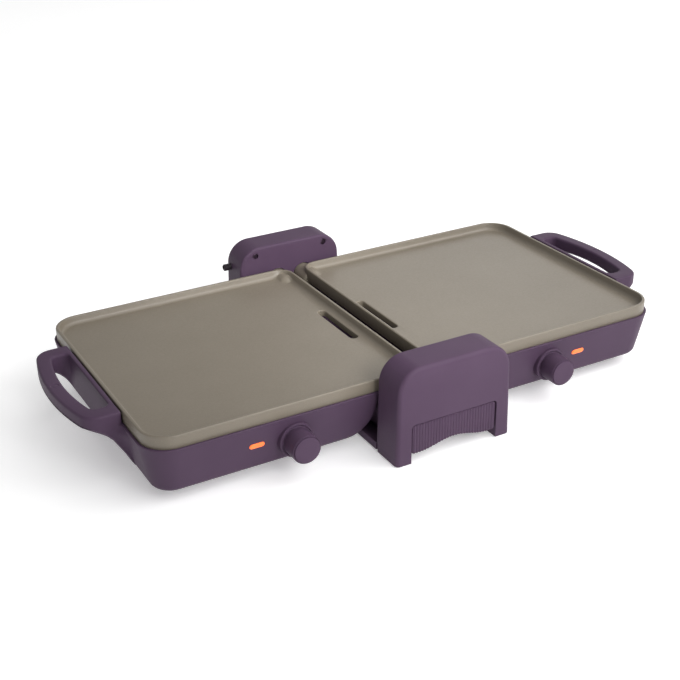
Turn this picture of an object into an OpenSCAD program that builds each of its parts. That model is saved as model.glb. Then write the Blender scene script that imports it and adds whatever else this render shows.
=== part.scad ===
// Fold-up electric griddle: two heated plates on their own bases, two hinge towers, a drip tray.
// Millimetres. X runs along the griddle, Y from front (-) to back (+), Z up from the table.
// The origin is on the table, under the middle of the gap between the plates.
// Every part of a half is drawn for the right half (X > 0), and the left half mirrors it.

/* [Griddle plates] */
// Depth of each cooking plate, front to back
plate_depth = 270; // [256:1:290]
// Length of each cooking plate, from the middle gap outwards
plate_len = 264; // [250:1:300]
// Gap between the two plates when they lie flat
plate_gap = 16; // [14:1:18]
// Height of the plate's rim above the table
rim_z = 69.3; // [68:0.1:71]
// Depth of the cooking recess below the rim
recess_depth = 8; // [6:0.5:9]
// Length of the drain slot
slot_len = 72; // [50:1:90]
// Width of the drain slot
slot_w = 8.6; // [6:0.1:10]

/* [Bases] */
// Height of the base's lip, where the plate sits in it
lip_z = 57.2; // [56.5:0.1:58]
// Height of the base's underside above the table
base_z = 10; // [9:0.5:12]
// Wall thickness of the base
base_wall = 2.2; // [1.8:0.1:2.3]
// How far the sides lean in from the lip down to the underside
base_draft = 8; // [4:0.5:9]

/* [Handles] */
// How far each handle stands out from the plate's outer edge
handle_out = 43; // [38:1:52]
// Half the width of the handle, front to back
handle_half_w = 74; // [66:1:84]
// Width of the grip bar
grip_w = 14; // [12:1:16]
// Height of the grip bar, top to bottom
grip_h = 12; // [10:0.5:14]

/* [Hinge towers] */
// Depth of the whole griddle over both towers
tower_span = 355; // [350:1:400]
// Height of the towers
tower_h = 95; // [92:1:110]
// Half the width of a tower at the table
tower_half_w = 61.6; // [60:0.1:66]
// Radius of a tower's top corners
tower_corner_r = 24; // [18:1:28]

/* [Knobs] */
// Distance of the knob from the middle of the griddle
knob_x = 139; // [130:1:150]
// Height of the knob's axis above the table
knob_z = 33; // [31:0.5:36]
// Radius of the knob
knob_r = 13.7; // [11:0.1:14.5]
// How far the knob stands out from its ring
knob_out = 19; // [14:1:24]

/* [Drip tray] */
// Half the width of the drip tray
tray_half_w = 44.8; // [40:0.1:44.8]
// Length of the tray, behind its front
tray_len = 260; // [200:5:280]

/* [Hidden] */

plum = [0.36, 0.30, 0.38];
taupe = [0.53, 0.49, 0.44];
steel = [0.75, 0.75, 0.76];
bronze = [0.70, 0.52, 0.28];
rubber = [0.10, 0.10, 0.11];
phenolic = [0.16, 0.13, 0.12];
amber = [1.00, 0.42, 0.16];

$fn = 64;

// Plates
plate_x0 = plate_gap / 2;
plate_x1 = plate_x0 + plate_len;
plate_y = plate_depth / 2;
rim_t = 3;
plate_outer_r = 26;
plate_inner_r = 16;
skirt_z = lip_z - 2.2;
floor_z = rim_z - recess_depth;
floor_t = 4;
under_z = floor_z - floor_t;
slot_x = plate_x0 + 14.5;
slot_y = -3;

// Hinge: the axis is far enough out for the folded rims to stand clear of each other
fold_gap = 2.4;
hinge_z = skirt_z;
hinge_x = rim_z - hinge_z + fold_gap / 2;
lug_r = 11;
lug_in = 118;
wire_hole_r = 3.9;
pin_r = 6;
bush_r = 10;
fit_gap = 0.05;

// Bases
fit_out = 2.5;
shell_x0 = 52;
shell_x1 = plate_x1 + fit_out;
shell_y = plate_y + fit_out;
shell_outer_r = plate_outer_r + fit_out;
shell_inner_r = 5;
edge_r = 8;
edge_turn = 10;
nose_r = 32;
seat_gap = 0.3;
wall_slope = (base_draft + edge_r * (1 - cos(edge_turn)))
    / (lip_z - base_z - edge_r * (1 - sin(edge_turn)));

// Handles
handle_x1 = plate_x1 + handle_out;
handle_bow_r = 235;
handle_corner_r = 17;
opening_x0 = plate_x1 + 6;
opening_y = handle_half_w - 17;

// Towers
tower_draft = 1.7;
tower_wall = 3;
tower_z = 0.6;
tower_y1 = tower_span / 2;
tower_y0 = shell_y + 4.5;
cover_t = 3;
window_half_w = tray_half_w + 1;
window_z = 39.4;
window_r = 3.5;
duct_wall = 2.5;
well_x = 41;
well_z = tower_h - 9;
well_depth = 2.4;
leg_screw_z = 26;
rib_z = 8;
junction_z = tower_h - 24;
base_screw_y = tower_y0 + 16;
gland_y = tower_y1 - 8.7;
gland_z = tower_h * 0.725;
gland_r = 3.8;
leg_x = (window_half_w + duct_wall + tower_half_w - tower_wall) / 2;

// Centre base
rail_in = window_half_w + 1.7;
rail_top = 9;
rail_bottom = 1.5;
base_floor_z = 7;
base_foot_y = tower_y0 - 14;

// Drip tray
tray_y0 = -tower_y1 + 4.5;
tray_step_y = -tower_y0 + 2;
tray_step_z = 17;
tray_top = window_z - 3;

// Internals of a half
post_places = [[78, 100], [78, -100], [166, 108], [166, -104], [248, 60], [248, -60]];
post_r = 5;
post_top = under_z - 7.5;
element_r = 3.3;
element_z = under_z - element_r - 0.2;
element_x0 = 74;
element_x1 = 236;
element_y_out = 84;
element_y_in = 34;
element_bend = 26;
shield_z = element_z - 9;
thermostat_y = -112;
foot_place = [238, 98];
foot_r = 9;
indicator_x = knob_x + 36.5;
indicator_z = knob_z + 3.7;
ring_r = 16.5;
ring_face_y = shell_y + 0.9;
wire_r = 1.5;
wire_gap = 1.6;
wire_bend = 12;
wire_run_x = shell_x0 + 8;
wire_run_y = lug_in - 18;
block_top = 41;
block_x = shell_x0 + 6.5;
block_y = -87;
block_depth = 12;
block_h = 11;
block_pitch = 12;
shelf_t = 4;

// Points along an arc of a circle
function arc(cx, cy, r, a0, a1, n = 8) =
    [for (i = [0:n]) let (a = a0 + (a1 - a0) * i / n) [cx + r * cos(a), cy + r * sin(a)]];

// Outline of a rectangle from (x0, -y) to (x1, y) with one radius at each end
function rect_outline(x0, x1, y, r0, r1) = concat(
    arc(x1 - r1, y - r1, r1, 0, 90),
    arc(x0 + r0, y - r0, r0, 90, 180),
    arc(x0 + r0, -y + r0, r0, 180, 270),
    arc(x1 - r1, -y + r1, r1, 270, 360)
);

// How far the base's front wall stands out at height z
function wall_y(z) = shell_y - (lip_z - z) * wall_slope;

// Draws a right-hand part, mirrored for the left half
module on_side(side) {
    if (side == "left") {
        mirror([1, 0, 0]) children();
    } else {
        children();
    }
}

// Extrudes a shape drawn as (X, Z) along Y, from y0 to y1
module along_y(y0, y1) {
    translate([0, y1, 0]) rotate([90, 0, 0]) linear_extrude(y1 - y0) children();
}

// Extrudes a shape drawn as (Y, Z) along X, from x0 to x1
module along_x(x0, x1) {
    translate([x0, 0, 0]) rotate([90, 0, 90]) linear_extrude(x1 - x0) children();
}

// Cylinder along Y, from y0 to y1
module y_rod(x, z, r, y0, y1) {
    translate([x, y1, z]) rotate([90, 0, 0]) cylinder(r = r, h = y1 - y0);
}

// Places a shape on the base's front wall, with its own -Y pointing straight out of the leaning wall
module on_wall(x, z) {
    translate([x, -wall_y(z), z]) rotate([atan(wall_slope), 0, 0]) children();
}

// A pill outline: a rectangle with round ends
module pill(length, width) {
    square([length - width, width], center = true);
    for (s = [-1, 1]) translate([s * (length - width) / 2, 0]) circle(d = width);
}

// ---- Griddle plate: tray, drain slot, hinge lugs and screw bosses ----
module plate_slab(inset, z0, z1) {
    translate([0, 0, z0]) linear_extrude(z1 - z0) polygon(rect_outline(
        plate_x0 + inset, plate_x1 - inset, plate_y - inset,
        plate_inner_r - inset, plate_outer_r - inset
    ));
}

module slot_cut(grow, z0, z1) {
    translate([slot_x, slot_y, z0]) rotate([0, 0, 90]) linear_extrude(z1 - z0)
        pill(slot_len + 2 * grow, slot_w + 2 * grow);
}

module griddle_plate() {
    boss_r = 4.6;
    spout = 2;
    lug_end = tower_y0 + 5;
    color(taupe) difference() {
        union() {
            difference() {
                plate_slab(0, skirt_z, rim_z);
                plate_slab(rim_t, floor_z, rim_z + 1);
                plate_slab(rim_t, skirt_z - 1, under_z);
            }
            y_rod(hinge_x, hinge_z, lug_r, lug_in, lug_end);
            y_rod(hinge_x, hinge_z, lug_r, -lug_end, -lug_in);
            for (p = post_places) translate([p[0], p[1], post_top + 0.2])
                cylinder(r = boss_r, h = under_z - post_top);
            slot_cut(spout, skirt_z, floor_z - 1);
        }
        slot_cut(0, skirt_z - 1, floor_z + 1);
        y_rod(hinge_x, hinge_z, pin_r + 0.02, lug_in + 4, lug_end + 1);
        y_rod(hinge_x, hinge_z, pin_r + 0.02, -lug_end - 1, -lug_in - 4);
        y_rod(hinge_x, hinge_z, wire_hole_r, lug_in - 1, lug_in + 5);
        for (p = post_places) translate([p[0], p[1], post_top]) cylinder(r = 1.6, h = 8.8);
    }
}

// ---- Base shell: tub with the handle moulded on ----
// Side view of the tub, inset by t
module shell_side(t) {
    low_x1 = shell_x1 - base_draft;
    top_z = lip_z + (t > 0 ? 1 : 0);
    polygon(concat(
        [[shell_x1 - t, top_z], [shell_x0 + t, top_z]],
        arc(shell_x0 + nose_r, base_z + nose_r, nose_r - t, 180, 270, 12),
        arc(low_x1 - edge_r, base_z + edge_r, edge_r - t, 270, 360 - edge_turn, 6)
    ));
}

// End view of the tub, inset by t
module shell_end(t) {
    low_y = shell_y - base_draft;
    top_z = lip_z + (t > 0 ? 1 : 0);
    polygon(concat(
        [[shell_y - t, top_z], [-shell_y + t, top_z]],
        arc(-low_y + edge_r, base_z + edge_r, edge_r - t, 180 + edge_turn, 270, 6),
        arc(low_y - edge_r, base_z + edge_r, edge_r - t, 270, 360 - edge_turn, 6)
    ));
}

module tub(t) {
    intersection() {
        along_y(-shell_y - 1, shell_y + 1) shell_side(t);
        along_x(shell_x0 - 1, shell_x1 + 1) shell_end(t);
        linear_extrude(lip_z + 2) polygon(rect_outline(
            shell_x0 + t, shell_x1 - t, shell_y - t, shell_inner_r - t, shell_outer_r - t
        ));
    }
}

// Plan of the handle: straight sides, round corners and a bowed outer edge
module handle_plan() {
    bow_x = handle_x1 - handle_bow_r;
    bow = asin((handle_half_w - 15) / handle_bow_r);
    corner_x = bow_x + handle_bow_r * cos(bow) - handle_corner_r;
    corner_y = handle_half_w - handle_corner_r;
    polygon(concat(
        [[plate_x1 - 20, -handle_half_w]],
        arc(corner_x, -corner_y, handle_corner_r, 270, 335, 6),
        arc(bow_x, 0, handle_bow_r, -bow + 1.5, bow - 1.5, 16),
        arc(corner_x, corner_y, handle_corner_r, 25, 90, 6),
        [[plate_x1 - 20, handle_half_w]]
    ));
}

// Side view of the handle: level on top, sweeping down into the side of the tub
module handle_side() {
    sweep_z = base_z + 10;
    sweep_r = rim_z - grip_h - sweep_z;
    block_x = plate_x1 + 1.5;
    polygon(concat(
        [[block_x, rim_z], [handle_x1, rim_z], [handle_x1, rim_z - grip_h]],
        arc(handle_x1 - 3, sweep_z, sweep_r, 95, 172, 10),
        [[plate_x1 - 4, base_z + 8], [plate_x1 - 6, lip_z - 10], [block_x, lip_z - 4]]
    ));
}

// The finger opening through the handle
module handle_opening() {
    bow_r = handle_bow_r - grip_w;
    bow_x = handle_x1 - handle_bow_r;
    corner = 6;
    outer = corner + 1;
    turn = asin((opening_y - outer) / (bow_r - outer));
    outer_x = bow_x + (bow_r - outer) * cos(turn);
    translate([0, 0, -1]) linear_extrude(rim_z + 2) polygon(concat(
        arc(opening_x0 + corner, -opening_y + corner, corner, 180, 270, 4),
        arc(outer_x, -opening_y + outer, outer, 270, 360 - turn, 4),
        arc(bow_x, 0, bow_r, -turn + 1, turn - 1, 14),
        arc(outer_x, opening_y - outer, outer, turn, 90, 4),
        arc(opening_x0 + corner, opening_y - corner, corner, 90, 180, 4)
    ));
}

// Holes for the screws, the feet, the thermostat shaft and the indicator
module shell_holes() {
    for (p = post_places) translate([p[0], p[1], base_z - 1]) {
        cylinder(r = 4, h = 5);
        cylinder(r = 2.2, h = post_top);
    }
    for (s = [-1, 1]) translate([foot_place[0], s * foot_place[1], base_z - 1]) cylinder(r = 4, h = 6);
    y_rod(knob_x, knob_z, ring_r - 4, -shell_y - 1, -shell_y + 12);
    on_wall(indicator_x, indicator_z) along_y(-1, 5) pill(13.2, 4.2);
}

module base_shell() {
    notch_half_w = 6;
    color(plum) difference() {
        union() {
            difference() {
                union() {
                    tub(0);
                    intersection() {
                        along_y(-handle_half_w, handle_half_w) handle_side();
                        linear_extrude(rim_z + 1) handle_plan();
                    }
                }
                tub(base_wall);
                handle_opening();
                plate_slab(-seat_gap, skirt_z - seat_gap, lip_z + 0.5);
            }
            for (p = post_places) translate([p[0], p[1], base_z + 1])
                cylinder(r = post_r, h = post_top - base_z - 1);
            translate([shell_x0 + 1, block_y - 2, block_top - block_h - shelf_t])
                cube([block_x - shell_x0 + block_depth, 3 * block_pitch + 4, shelf_t]);
        }
        shell_holes();
        translate([shell_x0 - 1, wire_run_y - notch_half_w, hinge_z - 2.5]) cube([6, 2 * notch_half_w, 5]);
    }
}

// ---- Heating element: two nested loops of sheathed tube, both ends at the inner front ----
module tube_x(x0, x1, y, r) {
    translate([x0, y, element_z]) rotate([0, 90, 0]) cylinder(r = r, h = x1 - x0);
}

module tube_bend(cx, cy, bend, start, sweep) {
    translate([cx, cy, element_z]) rotate([0, 0, start]) rotate_extrude(angle = sweep)
        translate([bend, 0]) circle(r = element_r);
}

module heating_element() {
    mid_y = (element_y_out + element_y_in) / 2;
    turn = (element_y_out - element_y_in) / 2;
    bend_x = element_x1 - element_bend;
    inner_x = bend_x - 10 - element_y_in;
    straight = element_y_out - element_bend;
    color(steel) {
        tube_x(element_x0, bend_x, -element_y_out, element_r);
        tube_bend(bend_x, -straight, element_bend, -90, 90);
        translate([element_x1, -straight, element_z]) rotate([-90, 0, 0])
            cylinder(r = element_r, h = 2 * straight);
        tube_bend(bend_x, straight, element_bend, 0, 90);
        tube_x(element_x0 + turn, bend_x, element_y_out, element_r);
        tube_bend(element_x0 + turn, mid_y, turn, 90, 180);
        tube_x(element_x0 + turn, inner_x, element_y_in, element_r);
        tube_bend(inner_x, 0, element_y_in, -90, 180);
        tube_x(element_x0, inner_x, -element_y_in, element_r);
        for (y = [-element_y_out, -element_y_in]) tube_x(element_x0 - 8, element_x0 + 1, y, 1.2);
    }
}

// ---- Clips that hold the element under the plate: a strap with two ears ----
module element_clip() {
    strap = 1.2;
    depth = 10;
    half_w = element_r + strap;
    inner_w = element_r + 0.1;
    ear_w = 6.2;
    low_z = element_z - half_w;
    high_z = under_z - 0.05;
    difference() {
        translate([-depth / 2, -half_w, low_z]) cube([depth, 2 * half_w, high_z - low_z]);
        translate([-depth, -inner_w, low_z + strap - 0.1]) cube([2 * depth, 2 * inner_w, 20]);
    }
    for (s = [-1, 1]) translate([-depth / 2, s * (half_w + 3) - ear_w / 2, high_z - strap])
        cube([depth, ear_w, strap]);
}

module element_clips() {
    color(steel) for (x = [112, 158]) for (y = [-element_y_out, element_y_out, -element_y_in, element_y_in])
        translate([x, y, 0]) element_clip();
}

// ---- Heat shield: a thin pan under the element ----
module heat_shield() {
    sheet = 0.8;
    rise = 5;
    corner = 12;
    x0 = shell_x0 + 14;
    x1 = shell_x1 - base_draft - 10;
    y = shell_y - base_draft - 12;
    color(steel) difference() {
        translate([0, 0, shield_z]) linear_extrude(rise) polygon(rect_outline(x0, x1, y, corner, corner));
        translate([0, 0, shield_z + sheet]) linear_extrude(rise)
            polygon(rect_outline(x0 + sheet, x1 - sheet, y - sheet, corner - sheet, corner - sheet));
        for (p = post_places) translate([p[0], p[1], shield_z - 1])
            cylinder(r = post_r + 0.6, h = 2 * rise);
    }
}

// ---- Thermostat, its shaft, the knob and its ring ----
module thermostat() {
    depth = 22;
    color(phenolic) difference() {
        union() {
            translate([knob_x - 15, thermostat_y, knob_z - 13]) cube([30, depth, 23]);
            y_rod(knob_x, knob_z, 6, thermostat_y - 8, thermostat_y + 1);
            for (x = [-9, 6]) translate([knob_x + x, thermostat_y + depth - 1, knob_z - 6]) cube([3, 8, 1]);
        }
        y_rod(knob_x, knob_z, 3 + fit_gap, thermostat_y - 9, thermostat_y + 15);
    }
}

module thermostat_shaft() {
    flat_end = -ring_face_y - 0.5;
    color(steel) {
        y_rod(knob_x, knob_z, 3, flat_end, thermostat_y + 14);
        intersection() {
            y_rod(knob_x, knob_z, 3, flat_end - 11, flat_end + 0.1);
            translate([knob_x - 5, flat_end - 12, knob_z - 5]) cube([10, 13, 6.5]);
        }
    }
}

module knob() {
    back_y = -ring_face_y - 0.6;
    front_y = back_y - knob_out;
    wall = 2.4;
    chamfer = 1.2;
    color(plum) {
        difference() {
            union() {
                y_rod(knob_x, knob_z, knob_r, front_y + chamfer, back_y);
                y_rod(knob_x, knob_z, knob_r - chamfer, front_y, front_y + chamfer + 0.1);
            }
            y_rod(knob_x, knob_z, knob_r - wall, front_y + 6, back_y + 1);
        }
        difference() {
            y_rod(knob_x, knob_z, 5.4, front_y + 5, back_y - 0.6);
            intersection() {
                y_rod(knob_x, knob_z, 3.02, front_y + 6, back_y);
                translate([knob_x - 5, front_y, knob_z - 5]) cube([10, knob_out + 1, 6.52]);
            }
        }
    }
}

module knob_ring() {
    sleeve_r = ring_r - 4.1;
    groove_r = ring_r - 2;
    color(plum) difference() {
        union() {
            y_rod(knob_x, knob_z, ring_r, -ring_face_y, -shell_y + 0.3);
            y_rod(knob_x, knob_z, sleeve_r, -shell_y, -shell_y + 8);
            difference() {
                y_rod(knob_x, knob_z, ring_r, -shell_y, -shell_y + 10);
                tub(0);
            }
        }
        y_rod(knob_x, knob_z, 3.6, -ring_face_y - 1, -shell_y + 9);
        difference() {
            y_rod(knob_x, knob_z, groove_r, -ring_face_y - 1, -ring_face_y + 0.5);
            y_rod(knob_x, knob_z, groove_r - 1, -ring_face_y - 2, -ring_face_y + 1);
        }
    }
}

// ---- Indicator: amber lens in the wall, small neon lamp behind it ----
module indicator_lens() {
    color(amber) on_wall(indicator_x, indicator_z) {
        along_y(-0.8, -0.02) pill(14.5, 5);
        along_y(-0.1, 4) pill(13, 4);
    }
}

module indicator_lamp() {
    color(amber) on_wall(indicator_x, indicator_z) {
        translate([-5, 6.5, 0]) rotate([0, 90, 0]) cylinder(r = 2, h = 10);
        translate([-7, 5, -2]) cube([2.2, 3, 4]);
        for (z = [-1, 1]) translate([-12, 6.5, z]) rotate([0, 90, 0]) cylinder(r = 0.4, h = 5.5);
    }
}

// ---- Terminal block and the lead wires of one half ----
module terminal_block() {
    screw_x = block_x + block_depth - 3.5;
    color(phenolic) for (i = [0:2]) translate([0, block_y + block_pitch * i, 0]) difference() {
        translate([block_x, 0, block_top - block_h]) cube([block_depth, block_pitch + 0.01, block_h]);
        translate([screw_x, block_pitch / 2, block_top - 6]) cylinder(r = 1.8, h = 7);
    }
}

// One wire, offset o from the middle of the pair: out of the hollow hinge pin, across into the base,
// forward along its inner end, and down to the terminal block
module lead_wire(o) {
    first_y = wire_run_y + wire_bend;
    last_y = -58;
    y_rod(hinge_x + o, hinge_z, wire_r, first_y, tower_y0 + 22);
    translate([hinge_x + wire_bend, first_y, hinge_z]) rotate([0, 0, 180]) rotate_extrude(angle = 90)
        translate([wire_bend - o, 0]) circle(r = wire_r);
    translate([hinge_x + wire_bend, wire_run_y + o, hinge_z]) rotate([0, 90, 0])
        cylinder(r = wire_r, h = wire_run_x - hinge_x - 2 * wire_bend);
    translate([wire_run_x - wire_bend, wire_run_y - wire_bend, hinge_z]) rotate_extrude(angle = 90)
        translate([wire_bend + o, 0]) circle(r = wire_r);
    y_rod(wire_run_x + o, hinge_z, wire_r, last_y, wire_run_y - wire_bend);
    translate([wire_run_x + o, last_y, hinge_z - wire_bend / 2]) rotate([90, 0, 90]) rotate([0, 0, 90])
        rotate_extrude(angle = 90) translate([wire_bend / 2, 0]) circle(r = wire_r);
    translate([wire_run_x + o, last_y - wire_bend / 2, block_top + 0.1])
        cylinder(r = wire_r, h = hinge_z - wire_bend / 2 - block_top - 0.1);
}

module lead_wires() {
    color(rubber) for (s = [-1, 1]) lead_wire(s * wire_gap);
}

// ---- Hinge pins pressed into the plate's lugs; the rear one is hollow for the wires ----
module hinge_pins() {
    pin_end = tower_y0 + 23;
    color(steel) {
        y_rod(hinge_x, hinge_z, pin_r, -pin_end, -lug_in - 4.5);
        difference() {
            y_rod(hinge_x, hinge_z, pin_r, lug_in + 4.5, pin_end);
            y_rod(hinge_x, hinge_z, 3.8, lug_in, pin_end + 1);
        }
    }
}

// ---- Rubber feet under the outer end, and the screws into the plate ----
module feet() {
    color(rubber) for (s = [-1, 1]) translate([foot_place[0], s * foot_place[1], 0]) {
        cylinder(r = foot_r - 1, h = 1);
        translate([0, 0, 1]) cylinder(r = foot_r, h = base_z - 1.02);
        translate([0, 0, base_z - 0.1]) cylinder(r = 3.9, h = 4);
    }
}

module plate_screws() {
    color(steel) for (p = post_places) translate([p[0], p[1], base_z + 1]) {
        cylinder(r = 3.6, h = 2.95);
        translate([0, 0, 2.9]) cylinder(r = 1.55, h = post_top - base_z + 4);
    }
}

// ---- Towers and their inner covers, drawn for the rear and mirrored for the front ----
module rounded_window(half_w, top, r) {
    translate([-half_w, -1]) square([2 * half_w, top - r + 1]);
    translate([-half_w + r, -1]) square([2 * (half_w - r), top + 1]);
    for (s = [-1, 1]) translate([s * (half_w - r), top - r]) circle(r = r);
}

// Front view of a tower from height z0 up, inset by t: leaning sides and round top corners
module tower_outline(t, z0) {
    cz = tower_h - tower_corner_r;
    cx = tower_half_w - cz * tan(tower_draft) - tower_corner_r / cos(tower_draft);
    foot_x = tower_half_w - z0 * tan(tower_draft) - t / cos(tower_draft);
    polygon(concat(
        [[-foot_x, z0], [foot_x, z0]],
        arc(cx, cz, tower_corner_r - t, tower_draft, 90, 12),
        arc(-cx, cz, tower_corner_r - t, 90, 180 - tower_draft, 12)
    ));
}

// What the tower shell holds inside: the tray duct, hinge bosses, screw bosses and leg ribs
module tower_inside() {
    cover_y = tower_y0 + cover_t;
    back_y = tower_y1 - 1;
    along_y(cover_y + 0.1, back_y) difference() {
        intersection() {
            rounded_window(window_half_w + duct_wall, window_z + duct_wall, window_r + duct_wall);
            tower_outline(0, tower_z);
        }
        rounded_window(window_half_w, window_z, window_r);
    }
    for (s = [-1, 1]) {
        y_rod(s * hinge_x, hinge_z, bush_r + 3.5, tower_y0 + 5.6, back_y);
        y_rod(s * well_x, well_z, 4.4, cover_y + 0.2, back_y);
        y_rod(s * leg_x, leg_screw_z, 4, cover_y + 0.2, back_y);
        translate([s * leg_x - 5.2, base_screw_y - 7, rib_z]) cube([10.4, 14, 9]);
    }
}

module tower_shell() {
    cover_y = tower_y0 + cover_t;
    difference() {
        union() {
            difference() {
                along_y(cover_y, tower_y1) tower_outline(0, tower_z);
                along_y(cover_y - 1, tower_y1 - tower_wall) tower_outline(tower_wall, tower_z - 1);
            }
            tower_inside();
        }
        for (s = [-1, 1]) {
            y_rod(s * hinge_x, hinge_z, bush_r, tower_y0 + 5, tower_y0 + 30);
            translate([s * hinge_x - 3.5, tower_y0 + 25, hinge_z]) cube([7, 5, bush_r + 5]);
            y_rod(s * well_x, well_z, 1.5, cover_y - 1, cover_y + 18);
            y_rod(s * leg_x, leg_screw_z, 1.5, cover_y - 1, cover_y + 18);
            translate([s * leg_x, base_screw_y, rib_z - 1]) cylinder(r = 1.5, h = 8);
        }
    }
}

module front_tower() {
    mirror([0, 1, 0]) color(plum) difference() {
        tower_shell();
        along_y(tower_y0, tower_y1 + 1) rounded_window(window_half_w, window_z, window_r);
    }
}

module rear_tower() {
    color(plum) difference() {
        tower_shell();
        translate([-tower_half_w - 1, gland_y, gland_z]) rotate([0, 90, 0])
            cylinder(r = gland_r + 0.1, h = 9);
    }
}

module inner_cover(window) {
    color(plum) difference() {
        along_y(tower_y0, tower_y0 + cover_t) tower_outline(0, rail_top + 0.2);
        for (s = [-1, 1]) {
            y_rod(s * hinge_x, hinge_z, lug_r + 1, tower_y0 - 1, tower_y0 + cover_t + 1);
            for (p = [[well_x, well_z], [leg_x, leg_screw_z]]) {
                y_rod(s * p[0], p[1], 3.2, tower_y0 - 1, tower_y0 + well_depth);
                y_rod(s * p[0], p[1], 1.7, tower_y0 - 1, tower_y0 + cover_t + 1);
            }
        }
        if (window) along_y(tower_y0 - 1, tower_y0 + cover_t + 1)
            rounded_window(window_half_w, window_z, window_r);
    }
}

// ---- Centre base: two rails and a floor, with tongues that reach into the towers' legs ----
module center_base() {
    tongue_y = base_screw_y + 8;
    side_x = tower_half_w - 0.4;
    end_y = tower_y0 - 0.2;
    color(plum) difference() {
        union() {
            for (s = [-1, 1]) {
                translate([s > 0 ? rail_in : -side_x, -end_y, rail_bottom])
                    cube([side_x - rail_in, 2 * end_y, rail_top - rail_bottom]);
                translate([s * leg_x - 4.4, -tongue_y, rail_bottom]) cube([8.8, 2 * tongue_y, 5.5]);
            }
            translate([-rail_in - 1, -end_y, base_floor_z - 2.5]) cube([2 * rail_in + 2, 2 * end_y, 2.5]);
        }
        for (s = [-1, 1]) for (t = [-1, 1]) {
            translate([s * leg_x, t * base_screw_y, 0]) {
                cylinder(r = 3.2, h = 4);
                cylinder(r = 1.7, h = 10);
            }
            translate([s * leg_x, t * base_foot_y, 0]) cylinder(r = 2.1, h = 6);
        }
    }
}

// ---- Bushes, screws and feet of the centre ----
module hinge_bushes() {
    color(bronze) for (side = [-1, 1]) difference() {
        y_rod(side * hinge_x, hinge_z, bush_r - 0.02, tower_y0 + 6, tower_y0 + 22);
        y_rod(side * hinge_x, hinge_z, pin_r + fit_gap, tower_y0 + 5, tower_y0 + 23);
    }
}

module cover_screws() {
    color(steel) for (t = [0, 1]) mirror([0, t, 0]) for (s = [-1, 1])
        for (p = [[well_x, well_z], [leg_x, leg_screw_z]]) {
            y_rod(s * p[0], p[1], 2.9, tower_y0 + well_depth - 1.2, tower_y0 + well_depth - 0.02);
            y_rod(s * p[0], p[1], 1.45, tower_y0 + well_depth - 0.1, tower_y0 + 18);
        }
}

module base_screws() {
    color(steel) for (t = [-1, 1]) for (s = [-1, 1])
        translate([s * leg_x, t * base_screw_y, rail_bottom + 0.3]) {
            cylinder(r = 2.9, h = 2.15);
            translate([0, 0, 2.1]) cylinder(r = 1.45, h = 11);
        }
}

module base_feet() {
    color(rubber) for (t = [-1, 1]) for (s = [-1, 1]) translate([s * leg_x, t * base_foot_y, 0]) {
        cylinder(r = 5, h = rail_bottom - 0.02);
        cylinder(r = 2, h = rail_bottom + 4);
    }
}

// ---- Drip tray: shallow behind its front, deep between the plates ----
module tray_box(inset, top) {
    half_w = tray_half_w - 0.5 - inset;
    low_z = base_floor_z + 0.5 + inset;
    step_z = tray_step_z + inset;
    back_y = tray_y0 + tray_len - inset;
    deep_y = tray_step_y + inset;
    translate([-half_w, tray_y0 + inset, step_z]) cube([2 * half_w, tray_len - 2 * inset, top - step_z]);
    translate([-half_w, deep_y, low_z]) cube([2 * half_w, back_y - deep_y, top - low_z]);
}

module drip_tray() {
    color(plum) difference() {
        tray_box(0, tray_top);
        tray_box(1.8, tray_top + 1);
    }
}

module tray_front() {
    face_y = -tower_y1 + 1.4;
    low_z = 9;
    arch_rise = 6;
    arch_half_w = tray_half_w - 8;
    rib_pitch = 3;
    rib_w = 1.5;
    rib_proud = 0.7;
    rib_count = floor((tray_half_w - 3) / rib_pitch);
    color(plum) difference() {
        union() {
            along_y(face_y, tray_y0 - 0.05) intersection() {
                rounded_window(tray_half_w, window_z - 1, window_r - 1);
                translate([-tray_half_w, low_z]) square([2 * tray_half_w, window_z]);
            }
            along_y(face_y - rib_proud, face_y + 0.1) for (i = [-rib_count:rib_count])
                translate([i * rib_pitch - rib_w / 2, low_z]) square([rib_w, window_z - low_z - 3]);
        }
        along_y(face_y - 2, tray_y0 + 1) polygon([for (i = [-20:20])
            [i / 20 * arch_half_w, low_z - 0.1 + arch_rise / 2 * (1 + cos(180 * i / 20))]]);
    }
}

// ---- Cord gland and the wiring of the rear tower ----
module cord_gland() {
    side_x = tower_half_w - gland_z * tan(tower_draft);
    out = 8;
    color(rubber) translate([-side_x - out, gland_y, gland_z]) rotate([0, 90, 0]) {
        cylinder(r = gland_r - 1, h = 1);
        translate([0, 0, 1]) cylinder(r = gland_r, h = 13);
        translate([0, 0, out + tower_wall + 0.4]) cylinder(r = gland_r + 1.6, h = 2);
    }
}

module junction_block() {
    pitch = 11;
    depth = 14;
    back_y = tower_y1 - tower_wall - 0.2;
    color(phenolic) for (i = [-1:1]) difference() {
        translate([i * pitch - pitch / 2, back_y - depth, junction_z]) cube([pitch + 0.01, depth, 16]);
        y_rod(i * pitch, junction_z + 8, 2, back_y - depth - 1, back_y - 8);
    }
}

module junction_wires() {
    color(rubber) for (s = [-1, 1]) for (o = [-1, 1])
        translate([s * hinge_x + o * wire_gap, tower_y0 + 27.5, hinge_z]) {
            cylinder(r = wire_r, h = junction_z - hinge_z - 0.1);
            sphere(r = wire_r);
        }
}

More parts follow.
